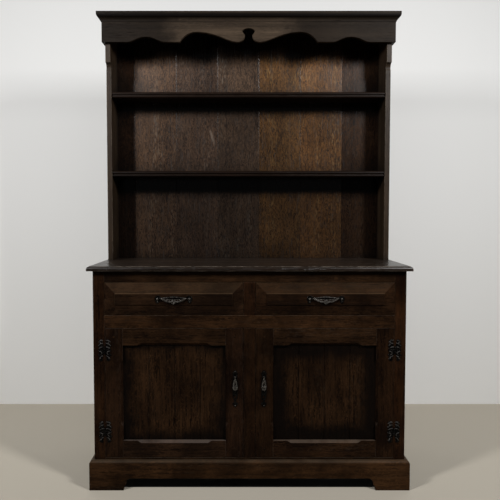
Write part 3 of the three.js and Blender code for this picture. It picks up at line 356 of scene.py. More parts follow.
painted_shadow_strip, given, result = new_group(
    "painted shadow strip",
    {"Vector": DIRECTION, "Cover": VALUE, "Full": VALUE, "Fade": VALUE, "Strength": VALUE},
    {"Mask": VALUE},
)
height = along(painted_shadow_strip, given["Vector"], Z)
uneven = times(painted_shadow_strip, noise(painted_shadow_strip, given["Vector"], **STRIP_NOISE), STRIP_UNEVENNESS)
below = maths(painted_shadow_strip, "SUBTRACT", given["Cover"], maths(painted_shadow_strip, "ADD", height, uneven))
end_height = maths(painted_shadow_strip, "ADD", given["Cover"], STRIP_OVERLAP)
under_cover = maths(painted_shadow_strip, "LESS_THAN", height, end_height)
fading = times(painted_shadow_strip, spread(painted_shadow_strip, below, given["Fade"], given["Full"]), given["Strength"])
hand_out(painted_shadow_strip, result, Mask=times(painted_shadow_strip, fading, under_cover))
print("painted shadow strip has", len(painted_shadow_strip.nodes), "nodes")

# %% [markdown]
# ## The raised field of a drawer
# The raised field of a drawer front is darker than its bevels, because the hand that pulls the bail
# leaves its grease there. It is found by how far forward it stands.

# %% Build the raised field group
raised_field, given, result = new_group(
    "raised field", {"Vector": DIRECTION, "Plane": VALUE, "Strength": VALUE}, {"Mask": VALUE}
)
on_field = maths(raised_field, "LESS_THAN", along(raised_field, given["Vector"], Y), given["Plane"])
hand_out(raised_field, result, Mask=times(raised_field, on_field, given["Strength"]))
print("raised field has", len(raised_field.nodes), "nodes")

# %% [markdown]
# ## Painted shade in the cornice
# The hollow under the cornice's round lies in shade, so it is painted nearly black, the fillet above
# it a little less, while the cove below stays as it is. Such painted shade follows the profile, so a
# colour ramp over the moulding's height gives it: each stop is a share of the height and how dark it
# is painted there.

# %% Build the moulding shade group
CORNICE_SHADE_SHARES = [(0.0, 0.0), (0.36, 0.0), (0.42, 0.97), (0.7, 0.97), (0.8, 0.7), (0.92, 0.4)]


def graded(tree, value, shares):
    """A grey that follows a value through stops, given as pairs of position and brightness."""
    ramp = put(tree, "ShaderNodeValToRGB", {0: value})
    stops = ramp.color_ramp.elements
    for position, _ in shares[1:-1]:
        stops.new(position)
    for stop, (position, brightness) in zip(stops, shares):
        stop.position = position
        stop.color = (brightness, brightness, brightness, 1)
    return ramp.outputs["Color"]


moulding_shade, given, result = new_group(
    "moulding painted shade", {"Vector": DIRECTION, "Bottom": VALUE, "Height": VALUE}, {"Mask": VALUE}
)
above = maths(moulding_shade, "SUBTRACT", along(moulding_shade, given["Vector"], Z), given["Bottom"])
height_share = maths(moulding_shade, "DIVIDE", above, given["Height"])
hand_out(moulding_shade, result, Mask=graded(moulding_shade, height_share, CORNICE_SHADE_SHARES))
print("moulding painted shade has", len(moulding_shade.nodes), "nodes")

# %% [markdown]
# ## The colour of one oak board
# Stain soaks into the open grain and stays thin on the hard wood between, so the colour runs from a
# dark to a light tone through bands and rings. It was also wiped on by hand, which leaves clouds a
# palm or two wide. Over that ground lie the flecks, the pores, the bare edges, then the painted shade
# in nooks and under covers together with grime, and the dust and painted sheen on the ledges, one
# layer after the other. The tones and nearly all the strengths are inputs of the group, so each
# board of the dresser can differ a little.

# %% Build the colour of the oak group
STAINS = ("Dark", "Light", "Worn")
AMOUNTS = ("Wear", "Flecks", "Figure", "Cloud", "Mottle", "Wax", "Ledge_share", "Nook_shade", "Sheen")
FOUND_MASKS = ("Shade", "Ledge", "Edge", "Nook")
CLOUDS = dict(low=0.3, high=0.68, scale=6.5, detail=4, roughness=0.6, distortion=0.3)
PORE_DARKNESS = 0.6
PORE_COLOUR = (0.003, 0.002, 0.0015, 1)
# The colour of painted shade in nooks and under covers, and of grime.
SHADE_AND_GRIME_COLOUR = (0.002, 0.0013, 0.001, 1)

oak_colour, given, result = new_group(
    "oak colour",
    {"Vector": DIRECTION, **dict.fromkeys(STAINS, COLOUR), **dict.fromkeys(AMOUNTS + FOUND_MASKS, VALUE)},
    {"Color": COLOUR, "Roughness": VALUE, "Height": VALUE},
)
marks = placed(oak_colour, oak_figure, Vector=given["Vector"], Mottle=given["Mottle"])
figured = mix(oak_colour, "FLOAT", given["Figure"], marks["Bands"], marks["Rings"])
clouds = patches(oak_colour, given["Vector"], **CLOUDS)
thin_stain = mix(oak_colour, "FLOAT", given["Cloud"], 1.0, clouds)
board = mix(oak_colour, "RGBA", times(oak_colour, figured, thin_stain), given["Dark"], given["Light"])
# The strongest of the painted shade in nooks and the shading masks, which hold painted shade, grime and
# darker tones.
shade_and_grime = maths(oak_colour, "MAXIMUM", times(oak_colour, given["Nook"], given["Nook_shade"]), given["Shade"])
layers = [
    (times(oak_colour, marks["Flecks"], given["Flecks"]), given["Worn"]),
    (times(oak_colour, marks["Pores"], PORE_DARKNESS), PORE_COLOUR),
    (times(oak_colour, given["Edge"], given["Wear"]), given["Worn"]),
    (shade_and_grime, SHADE_AND_GRIME_COLOUR),
    # Dust and painted sheen on the ledges, in the pale worn colour.
    (times(oak_colour, given["Ledge"], given["Ledge_share"]), given["Worn"]),
]
for share, layer in layers:
    board = mix(oak_colour, "RGBA", share, board, layer)
hand_out(oak_colour, result, Color=board)
print("oak colour has", len(layers), "layers over the stain")

# %% [markdown]
# ## The polish of one oak board
# Waxed oak isn't evenly shiny. Open grain, pores and rubbed edges are duller than the hard wood, and
# hands leave dull patches. In the strips under the shelves nothing scuffs the wax, so it has stayed
# smooth there. All this goes into the roughness. The pores are sunk a little and the rings stand a
# hair proud, which goes into the height of the bump.

# %% Add the polish to the oak group
POLISH = 0.08
HAND_MARKS = dict(scale=7)
GRAIN_DULLNESS = 0.08
HAND_DULLNESS = 0.14
EDGE_DULLNESS = 0.35
PORE_DULLNESS = 0.25
RING_RELIEF = 0.1

open_grain = maths(oak_colour, "SUBTRACT", 1.0, marks["Rings"])
dull_parts = [
    (times(oak_colour, open_grain, given["Figure"]), GRAIN_DULLNESS),
    (noise(oak_colour, given["Vector"], **HAND_MARKS), HAND_DULLNESS),
    (given["Edge"], EDGE_DULLNESS),
    (marks["Pores"], PORE_DULLNESS),
]
roughness = maths(oak_colour, "SUBTRACT", given["Sheen"], POLISH)
for mask, dullness in dull_parts:
    roughness = maths(oak_colour, "ADD", roughness, times(oak_colour, mask, dullness))
smooth_wax = times(oak_colour, given["Shade"], given["Wax"])
proud_rings = times(oak_colour, marks["Rings"], RING_RELIEF)
hand_out(
    oak_colour,
    result,
    Roughness=maths(oak_colour, "SUBTRACT", roughness, smooth_wax, clamp=True),
    Height=maths(oak_colour, "SUBTRACT", proud_rings, marks["Pores"]),
)
print("oak colour has", len(oak_colour.nodes), "nodes")

# %% [markdown]
# ## Finishes of the dresser
# The base is stained nearly black, the rack's front is greyer from handling and light, and the back
# boards have faded to a warmer brown. The door panels show more figure than the frames around them,
# and inside, the oak was only oiled. Each finish is a small set of values: three tones, then how
# much there is of wear, flecks, figure, clouds, mottle, smooth wax, dust and painted sheen on the
# ledges, and painted shade in the nooks, how rough and how glossy the polish is, how far a nook
# reaches and how deep the pores are.

# %% List the finishes
ORDINARY = dict(flecks=0.03, figure=0.4, cloud=0.5, mottle=0.0, wax=0.0, reach=30 * MM, relief=0.4 * MM)
FINISHES = {
    "base": dict(
        dark=(0.0024, 0.0011, 0.0006), light=(0.039, 0.0183, 0.0078), worn=(0.16, 0.122, 0.09),
        wear=0.32, figure=0.62, cloud=0.75, ledge_share=0.2, nook_shade=0.8, sheen=0.4, gloss=0.03,
    ),
    # The worktop's pale worn colour and full wear are partly a painted highlight along its front edge.
    "top": dict(
        dark=(0.004, 0.0021, 0.0012), light=(0.018, 0.0095, 0.0052), worn=(0.38, 0.31, 0.25),
        wear=1.0, ledge_share=0.02, nook_shade=0.5, sheen=0.28, gloss=0.28,
    ),
    "frieze": dict(
        dark=(0.013, 0.009, 0.0062), light=(0.072, 0.05, 0.033), worn=(0.15, 0.12, 0.095),
        wear=0.35, flecks=0.05, figure=0.3, cloud=0.4, ledge_share=0.1, nook_shade=0.6, sheen=0.5, gloss=0.05,
    ),
    "side": dict(
        dark=(0.01, 0.0058, 0.003), light=(0.052, 0.032, 0.018), worn=(0.3, 0.24, 0.175),
        wear=0.7, flecks=0.05, ledge_share=0.1, nook_shade=0.8, sheen=0.45, gloss=0.15, reach=80 * MM,
    ),
    "shelf": dict(
        dark=(0.003, 0.0014, 0.0008), light=(0.015, 0.0075, 0.0045), worn=(0.13, 0.09, 0.065),
        wear=0.4, ledge_share=0.05, nook_shade=0.8, sheen=0.4, gloss=0.08, reach=60 * MM,
    ),
    # The back's long nook reach paints shade on the outer boards beside the rack's ends.
    "back": dict(
        dark=(0.005, 0.0028, 0.0024), light=(0.134, 0.0714, 0.0383), worn=(0.17, 0.12, 0.08),
        wear=0.06, flecks=0.35, figure=0.85, cloud=0.4, mottle=0.75, wax=0.16,
        ledge_share=0.0, nook_shade=0.95, sheen=0.29, gloss=0.27, reach=140 * MM, relief=0.1 * MM,
    ),
    "rear": dict(
        dark=(0.02, 0.011, 0.006), light=(0.056, 0.033, 0.02), worn=(0.13, 0.085, 0.05),
        wear=0.2, flecks=0.1, figure=0.5, ledge_share=0.0, nook_shade=0.6, sheen=0.65, gloss=0.15, reach=50 * MM,
    ),
    "inside": dict(
        dark=(0.045, 0.025, 0.013), light=(0.15, 0.09, 0.05), worn=(0.24, 0.16, 0.095),
        wear=0.3, flecks=0.15, figure=0.45, cloud=0.3, ledge_share=0.05, nook_shade=0.5, sheen=0.6, gloss=0.3,
    ),
}
FINISHES["plinth"] = dict(FINISHES["base"], ledge_share=0.1)
FINISHES["drawer"] = dict(FINISHES["base"], worn=(0.17, 0.105, 0.05), ledge_share=0.3)
FINISHES["panel"] = dict(FINISHES["base"], figure=0.9, cloud=0.65)
print("finishes", sorted(FINISHES))

# %% [markdown]
# ## The place of a board in its log
# Two boards from one log never show the same figure. So each material reads the pattern at its own
# place, a step further on in a log without end, and turned so that the grain runs along the board.
# The grain of a mitred moulding turns the corner with it, and the facing of the surface tells the
# front from the returns.

# %% Lay the grain
GRAIN_TURNS = {"x": (0, QUARTER_TURN, 0), "y": (QUARTER_TURN, 0, 0), "z": (0, 0, 0)}
LOG_STEP = Vector((0.731, 0.417, 1.193))
RETURN_FACING = 0.7


def grain_vector(tree, grain, place):
    """Places turned so that the grain runs along Z, from the board's own place in the log."""
    inputs = {"Vector": object_place(tree), "Rotation": GRAIN_TURNS[grain], "Location": place}
    return put(tree, "ShaderNodeMapping", inputs).outputs[0]


def mitred_grain_vector(tree, place):
    """Grain along X on the front of a moulding and along Y on its returns."""
    facing = maths(tree, "ABSOLUTE", along(tree, face_direction(tree), X))
    on_return = maths(tree, "GREATER_THAN", facing, RETURN_FACING)
    return mix(tree, "VECTOR", on_return, grain_vector(tree, "x", place), grain_vector(tree, "y", place))


print("grain turns for", sorted(GRAIN_TURNS))

# %% [markdown]
# ## One material for each board
# The groups above do the work, so a board's material is short: it finds the edges, nooks and ledges,
# hands them to the oak colour with the values of its finish, and feeds the shader. A tint makes one
# board lighter or darker than its finish. The gloss is the same all over a board, so it is set on
# the shader itself.

# %% Make the material of a board
BUMP_STRENGTH = 0.5
EDGE_RADIUS = 2 * MM
EDGE_RADII = {"top": 4 * MM}
PLAIN = (1.0, 1.0, 1.0)
BOARDS_MADE = []


def new_material(name):
    """A material with its tree of nodes and its shader."""
    material = bpy.data.materials.new(name)
    material.use_nodes = True
    return material, material.node_tree, material.node_tree.nodes["Principled BSDF"]


def darkest(tree, shading):
    """The strongest of several shading masks, each given as a group with its inputs."""
    place = object_place(tree)
    strongest = None
    for group, inputs in shading:
        mask = placed(tree, group, Vector=place, **inputs)["Mask"]
        strongest = maths(tree, "MAXIMUM", strongest, mask) if strongest else mask
    return strongest


def oak(name, finish, grain, tint=PLAIN, shading=()):
    """The material of one board; its grain is x, y, z or mitred."""
    values = {**ORDINARY, **FINISHES[finish]}
    place = LOG_STEP * len(BOARDS_MADE)
    BOARDS_MADE.append(name)
    material, tree, shader = new_material(name)
    vector = mitred_grain_vector(tree, place) if grain == "mitred" else grain_vector(tree, grain, place)
    edge = placed(tree, worn_edge, Vector=vector, Radius=EDGE_RADII.get(finish, EDGE_RADIUS))
    inputs = {label: values[label.lower()] for label in AMOUNTS}
    for label in STAINS:
        inputs[label] = [part * share for part, share in zip(values[label.lower()], tint)] + [1]
    inputs["Nook"] = placed(tree, nook, Reach=values["reach"])["Mask"]
    inputs["Ledge"] = placed(tree, dust_and_sheen_ledge, Vector=vector)["Mask"]
    if shading:
        inputs["Shade"] = darkest(tree, shading)
    colour = placed(tree, oak_colour, Vector=vector, Edge=edge["Mask"], **inputs)
    relief = {"Height": colour["Height"], "Normal": edge["Normal"], "Distance": values["relief"]}
    bump = put(tree, "ShaderNodeBump", {"Strength": BUMP_STRENGTH, **relief})
    tree.links.new(colour["Color"], shader.inputs["Base Color"])
    tree.links.new(colour["Roughness"], shader.inputs["Roughness"])
    tree.links.new(bump.outputs["Normal"], shader.inputs["Normal"])
    shader.inputs["Specular IOR Level"].default_value = values["gloss"]
    return material


print("a board has", len(STAINS), "tones and", len(AMOUNTS), "amounts")

# %% [markdown]
# ## Light and dark places
# Old furniture is never one tone. Rails are lighter than the stiles beside them, the ends of the
# frieze have dark rims, each drawer front has its darker field, the door panels get a rim of painted
# shade from their frames, and the cornice gets painted shade in its hollow. These tables and this
# function say so for each board.

# %% Shade the boards
BOARD_SHADES = {
    "plinth": (1.55, 1.5, 1.35),
    "drawer_rail": (1.3, 1.25, 1.2),
    "centre_stile": (0.57, 0.53, 0.52),
    "drawer_muntin": (0.8, 0.7, 0.7),
    "stile_left": (0.85, 0.75, 0.7),
    "stile_right": (0.95, 0.8, 0.7),
    "drawer_left_front": (1.0, 1.0, 1.1),
    "drawer_right_front": (0.86, 0.82, 0.84),
    "door_left_meeting_stile": (0.65, 0.62, 0.7),
    "door_right_meeting_stile": (0.65, 0.62, 0.6),
    "door_left_hinge_stile": (0.72, 0.7, 0.76),
    "door_right_hinge_stile": (0.75, 0.7, 0.7),
    "lower_shelf": (0.6, 0.55, 0.5),
    "door_left_bottom_rail": (1.35, 1.4, 1.6),
    "door_right_bottom_rail": (1.35, 1.3, 1.3),
}
PANEL_RIM_SHARES = {"door_left_panel": 1.0, "door_right_panel": 0.86}
PANEL_RIM_STRENGTH = 0.9
FIELD_STRENGTH = 0.35
FIELD_MARGIN = 1.0 * MM
FRIEZE_MIDDLE = Vector((-0.075, 0.065, 1.8))
FRIEZE_LIGHT_HALF = Vector((0.3, 1.0, 0.4))
FRIEZE_END_STRENGTH = 0.71


def middle_and_half(node_name):
    """The middle of a solid's box and its half sizes."""
    low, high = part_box(node_name)
    return (low + high) / 2, (high - low) / 2


def shading_of(node_name):
    """The shading masks of one board, each as a group with its inputs."""
    low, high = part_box(node_name)
    middle, half = middle_and_half(node_name)
    shading = []
    if node_name in ("frieze", "cornice"):
        ends = {"Centre": FRIEZE_MIDDLE, "Half": FRIEZE_LIGHT_HALF, "Strength": FRIEZE_END_STRENGTH}
        shading.append((dark_rim, ends))
    # The cornice gets painted shade in the hollow under its round.
    if node_name == "cornice":
        shading.append((moulding_shade, {"Bottom": low.z, "Height": high.z - low.z}))
    # A door panel gets a rim of painted shade from the frame around it.
    if node_name in PANEL_RIM_SHARES:
        light_half = half * PANEL_RIM_SHARES[node_name]
        shading.append((dark_rim, {"Centre": middle, "Half": light_half, "Strength": PANEL_RIM_STRENGTH}))
    if node_name.endswith("_front"):
        shading.append((raised_field, {"Plane": low.y + FIELD_MARGIN, "Strength": FIELD_STRENGTH}))
    return shading


print("shades for", len(BOARD_SHADES), "boards")

# %% [markdown]
# ## Oak on every board
# A joiner runs the grain along the length of each piece: up the stiles, ends and panels, across the
# rails, shelves and drawer fronts. The tables below say so for each solid, and each gets a material
# of its own, so no two boards show the same figure.

# %% Dress the boards
SIDES = ("left", "right")
BOARD_FINISHES = {
    ("top", "x"): ["worktop"],
    ("base", "x"): ["top_rail", "drawer_rail", "cupboard_bottom"],
    ("base", "z"): ["end_left", "end_right", "stile_left", "stile_right", "drawer_muntin", "centre_stile"],
    ("inside", "x"): ["cupboard_shelf", "drawer_runner_frame"],
    ("inside", "z"): ["base_back"],
    ("shelf", "x"): ["upper_shelf", "lower_shelf"],
    ("frieze", "x"): ["frieze", "rack_top"],
    ("frieze", "y"): ["frieze_return_left", "frieze_return_right"],
    ("side", "z"): ["rack_side_left", "rack_side_right"],
}
DOOR_AND_DRAWER_FINISHES = {
    ("base", "x"): ["door_{}_top_rail", "door_{}_bottom_rail"],
    ("drawer", "x"): ["drawer_{}_front"],
    ("base", "z"): ["door_{}_hinge_stile", "door_{}_meeting_stile"],
    ("panel", "z"): ["door_{}_panel"],
    ("inside", "x"): ["drawer_{}_back", "drawer_{}_bottom"],
    ("inside", "y"): ["drawer_{}_side_left", "drawer_{}_side_right"],
}
MOULDING_FINISHES = {("plinth", "mitred"): ["plinth"], ("frieze", "mitred"): ["cornice"]}


def dress(node_name, material):
    """Puts a material on a CAD solid."""
    NODES[node_name].data.materials.clear()
    NODES[node_name].data.materials.append(material)


for side in SIDES:
    for wood, names in DOOR_AND_DRAWER_FINISHES.items():
        BOARD_FINISHES.setdefault(wood, []).extend(name.format(side) for name in names)
for (finish, grain), names in {**BOARD_FINISHES, **MOULDING_FINISHES}.items():
    for name in names:
        dress(name, oak(name, finish, grain, BOARD_SHADES.get(name, PLAIN), shading_of(name)))
print("boards dressed", len(BOARDS_MADE))

# %% [markdown]
# ## Blackened iron
# The fittings are forged, blacked and waxed. Hammering leaves shallow dents, the black has rubbed
# to a matt grey on the ridges, and the wax still shines in the hollows. So one cloud drives both the
# colour and the roughness, over a metal that is never quite clean. The bails and drops are handled
# every day, so their black is nearly gone, while the plates behind them have kept it.
# The ribs and nails of the hinges are a lighter black iron, partly rubbed and partly a painted highlight.

# %% Build the iron
IRON_TONES = {
    "blackened_iron": ((0.0012, 0.0011, 0.001, 1), (0.008, 0.0075, 0.007, 1), (0.045, 0.042, 0.039, 1)),
    # Lighter iron for the hinge ribs and nails: partly rubbed, partly painted highlight.
    "worn_and_highlit_black_iron": ((0.02, 0.0186, 0.0172, 1), (0.09, 0.084, 0.078, 1), (0.34, 0.32, 0.3, 1)),
    "rubbed_iron": ((0.03, 0.0275, 0.025, 1), (0.12, 0.11, 0.1, 1), (0.42, 0.39, 0.36, 1)),
}
IRON_CLOUD = dict(scale=160, detail=4, roughness=0.6)
RIDGES = dict(low=0.35, high=0.68)
IRON_ROUGHNESS = dict(low=0.3, high=0.7, to_low=0.34, to_high=0.56)
IRON_METALLIC = 0.85
IRON_GLOSS = 0.2
IRON_EDGE_RADIUS = 0.9 * MM
DENTS_PER_METRE = 260
DENT_DEPTH = 0.5 * MM
DENT_STRENGTH = 0.45


def iron(name, hollow, ridge, bare):
    """Black iron that has rubbed grey: the colours of its hollows, its ridges and its bare edges."""
    material, tree, shader = new_material(name)
    vector = object_place(tree)
    edge = placed(tree, worn_edge, Vector=vector, Radius=IRON_EDGE_RADIUS)
    cloud = noise(tree, vector, **IRON_CLOUD)
    black = mix(tree, "RGBA", spread(tree, cloud, **RIDGES), hollow, ridge)
    dents = {"Vector": vector, "Scale": DENTS_PER_METRE}
    dented = put(tree, "ShaderNodeTexVoronoi", dents, feature="SMOOTH_F1").outputs["Distance"]
    relief = {"Height": dented, "Normal": edge["Normal"], "Strength": DENT_STRENGTH, "Distance": DENT_DEPTH}
    bump = put(tree, "ShaderNodeBump", relief)
    tree.links.new(mix(tree, "RGBA", edge["Mask"], black, bare), shader.inputs["Base Color"])
    tree.links.new(spread(tree, cloud, **IRON_ROUGHNESS), shader.inputs["Roughness"])
    tree.links.new(bump.outputs["Normal"], shader.inputs["Normal"])
    shader.inputs["Metallic"].default_value = IRON_METALLIC
    shader.inputs["Specular IOR Level"].default_value = IRON_GLOSS
    return material


BLACK_IRON, WORN_AND_HIGHLIT_IRON, RUBBED_IRON = [iron(name, *tones) for name, tones in IRON_TONES.items()]
black_names = [name for name in NODES if name.startswith("hinge_") or name.endswith("_pull_plate")]
rubbed_names = [name for name in NODES if name.endswith(("_bail", "_drop"))]
for name in black_names:
    dress(name, BLACK_IRON)
for name in rubbed_names:
    dress(name, RUBBED_IRON)
print("iron fittings", len(black_names), "black and", len(rubbed_names), "rubbed")

# %% [markdown]
# ## The tones of the back
# Each board of the rack's back has faded in its own way, from grey-brown on the left to a warmer
# brown on the right, and the outermost two are tinted dark, partly as their tone and partly as
# painted shade from the rack's ends. The first three covers are the painted shadows under the frieze
# and the shelves. The last two reach far lower and are weaker: they paint the shade of the shelf
# above over whole bays.

# %% Choose the tones of the back
# Each row paints a shadow strip below a cover.
COVERS = [
    ("rack_top", dict(Full=100 * MM, Fade=176 * MM, Strength=0.94)),
    ("upper_shelf", dict(Full=18 * MM, Fade=70 * MM, Strength=0.97)),
    ("lower_shelf", dict(Full=48 * MM, Fade=98 * MM, Strength=0.98)),
    ("upper_shelf", dict(Full=300 * MM, Fade=500 * MM, Strength=0.42)),
    ("lower_shelf", dict(Full=350 * MM, Fade=400 * MM, Strength=0.71)),
]
BOARD_TINTS = [
    # The first and last tints are dark partly as painted shade from the rack's ends.
    (0.5, 0.45, 0.42),
    (1.35, 1.42, 1.5),
    (0.9, 0.99, 1.15),
    (0.92, 1.05, 1.2),
    (1.45, 1.29, 0.79),
    (1.75, 1.51, 0.97),
    (0.65, 0.6, 0.56),
]
BOARD_GLOSS_SHARES = [0.7, 1.15, 1.1, 1.0, 1.15, 1.1, 0.5]

under_covers = [(painted_shadow_strip, {"Cover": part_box(cover)[0].z, **strip}) for cover, strip in COVERS]
print("tones for", len(BOARD_TINTS), "boards under", len(under_covers), "covers")

# %% [markdown]
# ## New pieces
# A piece that the CAD model lacks is shaped with mesh operators and turned into an object. It rides
# on a body of the dresser, so it follows a door or a drawer when that moves, and its slot says which
# material it belongs to. A board is the simplest such shape: a cube scaled to the board's size.

# %% Helpers for new pieces
def new_object(name, builder, material):
    """Turns a finished bmesh into an object of the scene."""
    mesh = bpy.data.meshes.new(name)
    builder.to_mesh(mesh)
    builder.free()
    made = bpy.data.objects.new(name, mesh)
    made.data.materials.append(material)
    bpy.context.scene.collection.objects.link(made)
    return made


def new_piece(name, builder, body, material):
    """Turns a finished bmesh into a piece that rides on a body."""
    piece = new_object(name, builder, material)
    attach(piece, body)
    return piece


def board_block(low, high):
    """A plain board between two corners."""
    builder = bmesh.new()
    bmesh.ops.create_cube(builder, size=1)
    bmesh.ops.scale(builder, vec=high - low, verts=builder.verts)
    bmesh.ops.translate(builder, vec=(low + high) / 2, verts=builder.verts)
    return builder


print("helpers for pieces ready")

# %% [markdown]
# ## The back of the rack
# The real back is a row of seven boards, each with its front corners taken off so that a V shows at
# every joint. The CAD model has them as one solid. Separate boards let the figure and the tone
# change at each joint, so seven boards replace it, with the two upright front edges bevelled. Only
# the front was ever polished, so the rear face has a material of its own.

# %% Make the back boards
BACK_LOW, BACK_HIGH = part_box("rack_back")
BACK_JOINTS = [-0.497, -0.315, -0.133, 0.049, 0.231, 0.413]
BOARD_CHAMFER = 1.2 * MM
TOLERANCE = 0.1 * MM
REAR_FACING = 0.5


def lies_in_front(edge, front_y):
    """Whether an edge lies in the front plane of its piece."""
    return all(abs(vert.co.y - front_y) < TOLERANCE for vert in edge.verts)


def stands_upright(edge):
    """Whether an edge of the front runs up and down."""
    return abs(edge.verts[0].co.x - edge.verts[1].co.x) < TOLERANCE


def bevel_front_corners(builder, front_y):
    """Takes off the two upright front edges of a board."""
    corners = [edge for edge in builder.edges if lies_in_front(edge, front_y) and stands_upright(edge)]
    settings = dict(offset=BOARD_CHAMFER, segments=1, profile=0.5, affect="EDGES", material=-1)
    bmesh.ops.bevel(builder, geom=corners, clamp_overlap=True, **settings)


board_ends = [BACK_LOW.x] + BACK_JOINTS + [BACK_HIGH.x]
back_boards = []
for number, (left, right) in enumerate(zip(board_ends, board_ends[1:])):
    name = f"back_board_{number + 1}"
    low, high = BACK_LOW.copy(), BACK_HIGH.copy()
    low.x, high.x = left, right
    builder = board_block(low, high)
    bevel_front_corners(builder, BACK_LOW.y)
    for face in builder.faces:
        face.material_index = int(face.normal.y > REAR_FACING)
    polished = oak(name, "back", "z", BOARD_TINTS[number], under_covers)
    gloss = polished.node_tree.nodes["Principled BSDF"].inputs["Specular IOR Level"]
    gloss.default_value *= BOARD_GLOSS_SHARES[number]
    board = new_piece(name, builder, "carcass", polished)
    board.data.materials.append(oak(f"{name}_rear", "rear", "z"))
    back_boards.append(board)
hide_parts("rack_back")
print("back boards", [round(right - left, 3) for left, right in zip(board_ends, board_ends[1:])])

# %% [markdown]
# ## A ray mark
# Oak has rays that run out from the heart of the log. Where the saw follows one, it surfaces as a
# single pale splash. The third board has one in the middle bay. A mapping node turns and scales the
# place into an upright oval, and a little noise frays its rim. It feeds the ledge input of the
# board's colour, which lays the worn colour over it: a back board has no ledge of its own.

# %% Lay the ray mark
MARKED_BOARD = 2
MARK_CENTRE = Vector((-0.158, BACK_LOW.y, 1.386))
MARK_HALF = Vector((8.5 * MM, 1.0, 46 * MM))
MARK_LEAN = math.radians(-16)
MARK_NOISE = dict(scale=180, detail=2)
MARK_RIM = dict(low=1.5, high=0.7)
MARK_STRENGTH = 0.4


def colour_node(tree):
    """The node in which an oak material makes its colour."""
    return next(node for node in tree.nodes if node.type == "GROUP" and node.node_tree == oak_colour)


tree = back_boards[MARKED_BOARD].data.materials[0].node_tree
colours = colour_node(tree)
place = object_place(tree)
oval = {"Vector": place, "Location": MARK_CENTRE, "Rotation": (0, MARK_LEAN, 0), "Scale": MARK_HALF}
in_oval = put(tree, "ShaderNodeMapping", oval, vector_type="TEXTURE").outputs[0]
outward = vector_maths(tree, "LENGTH", in_oval)
frayed = maths(tree, "ADD", outward, noise(tree, place, **MARK_NOISE))
tree.links.new(spread(tree, frayed, **MARK_RIM), colours.inputs["Ledge"])
colours.inputs["Ledge_share"].default_value = MARK_STRENGTH
print("ray mark on", back_boards[MARKED_BOARD].name)

# %% [markdown]
# ## Ribs
# Seen close, scrolled ribs stand on the dark plates of the fittings. Such a rib is a smooth line
# with a round section, thinner at its ends, so it is drawn as a curve with a bevel and then turned
# into a mesh. One helper draws all the ribs of a piece.

# %% Draw ribs
RIB_TAPER = 0.5
RIB_ROUNDNESS, RIB_STEPS = 2, 5


def drawn_ribs(name, lines, radius, body, material):
    """Round bars bent along smooth lines, as one mesh."""
    curve = bpy.data.curves.new(name, "CURVE")
    curve.dimensions = "3D"
    curve.bevel_depth = radius
    curve.bevel_resolution, curve.resolution_u = RIB_ROUNDNESS, RIB_STEPS
    curve.use_fill_caps = True
    for line in lines:
        spline = curve.splines.new("BEZIER")
        spline.bezier_points.add(len(line) - 1)
        for point, place in zip(spline.bezier_points, line):
            point.co = place
            point.handle_left_type = point.handle_right_type = "AUTO"
        spline.bezier_points[0].radius = spline.bezier_points[-1].radius = RIB_TAPER
    drawing = bpy.data.objects.new(name, curve)
    builder = bmesh.new()
    builder.from_mesh(bpy.data.meshes.new_from_object(drawing))
    bpy.data.objects.remove(drawing)
    new_piece(name, builder, body, material)


print("ribs taper to", RIB_TAPER, "of their radius")

# %% [markdown]
# ## Places on a hinge leaf
# What stands on a hinge leaf is placed by shares of the CAD leaf's own size, counted from the hinge's
# pin, so it stays on the leaf if that size changes. The pin stands in the strip where the boxes of
# the two leaves overlap.

# %% Find places on a hinge leaf
RIB_LIFT = 2.3 * MM
DOOR_FACE_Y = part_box("hinge_left_upper_door_leaf")[1].y


def pin_place(first_leaf, second_leaf):
    """The x of a hinge's pin: the middle of the strip where the boxes of its leaves overlap."""
    ends = sorted(corner.x for leaf in (first_leaf, second_leaf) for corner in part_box(leaf))
    return (ends[1] + ends[2]) / 2


def leaf_places(leaf, direction, pin_x):
    """Turns shares of a hinge leaf, counted from its pin, into places."""
    low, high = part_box(leaf)
    middle, half = middle_and_half(leaf)
    width = max(abs(low.x - pin_x), abs(high.x - pin_x))
    face_y = DOOR_FACE_Y - RIB_LIFT
    return lambda u, v: Vector((pin_x + direction * u * width, face_y, middle.z + v * half.z))


print("the leaves lie on a face at y =", round(DOOR_FACE_Y, 4))

# %% [markdown]
# ## Ribs and plates of the hinges
# Each leaf of a hinge carries five ribs, with a thin oval plate behind them. The plate is a flat
# cylinder, turned to the front and drawn out to an oval. The two leaves of a hinge mirror each other,
# so one table of lines serves both.

# %% Dress the hinges
RIB_RADIUS = 1.5 * MM
OUTWARD = {"left": -1, "right": 1}
TO_THE_FRONT = Matrix.Rotation(QUARTER_TURN, 3, "X")
BACKING_DEPTH = 0.9 * MM
BACKING_SIDES = 32
BACKING_SHARES = {"inner": 0.12, "outer": 0.86, "half_height": 0.86}
HINGE_RIB_SHARES = [
    [(0.2, 0.93), (0.55, 0.9), (0.9, 0.74)],
    [(0.2, 0.66), (0.55, 0.61), (0.92, 0.42)],
    [(0.1, 0.3), (0.45, 0.3), (0.82, 0.18)],
    [(0.84, -0.08), (0.55, -0.12), (0.4, -0.28), (0.6, -0.42)],
    [(0.24, -0.5), (0.55, -0.6), (0.84, -0.82)],
]


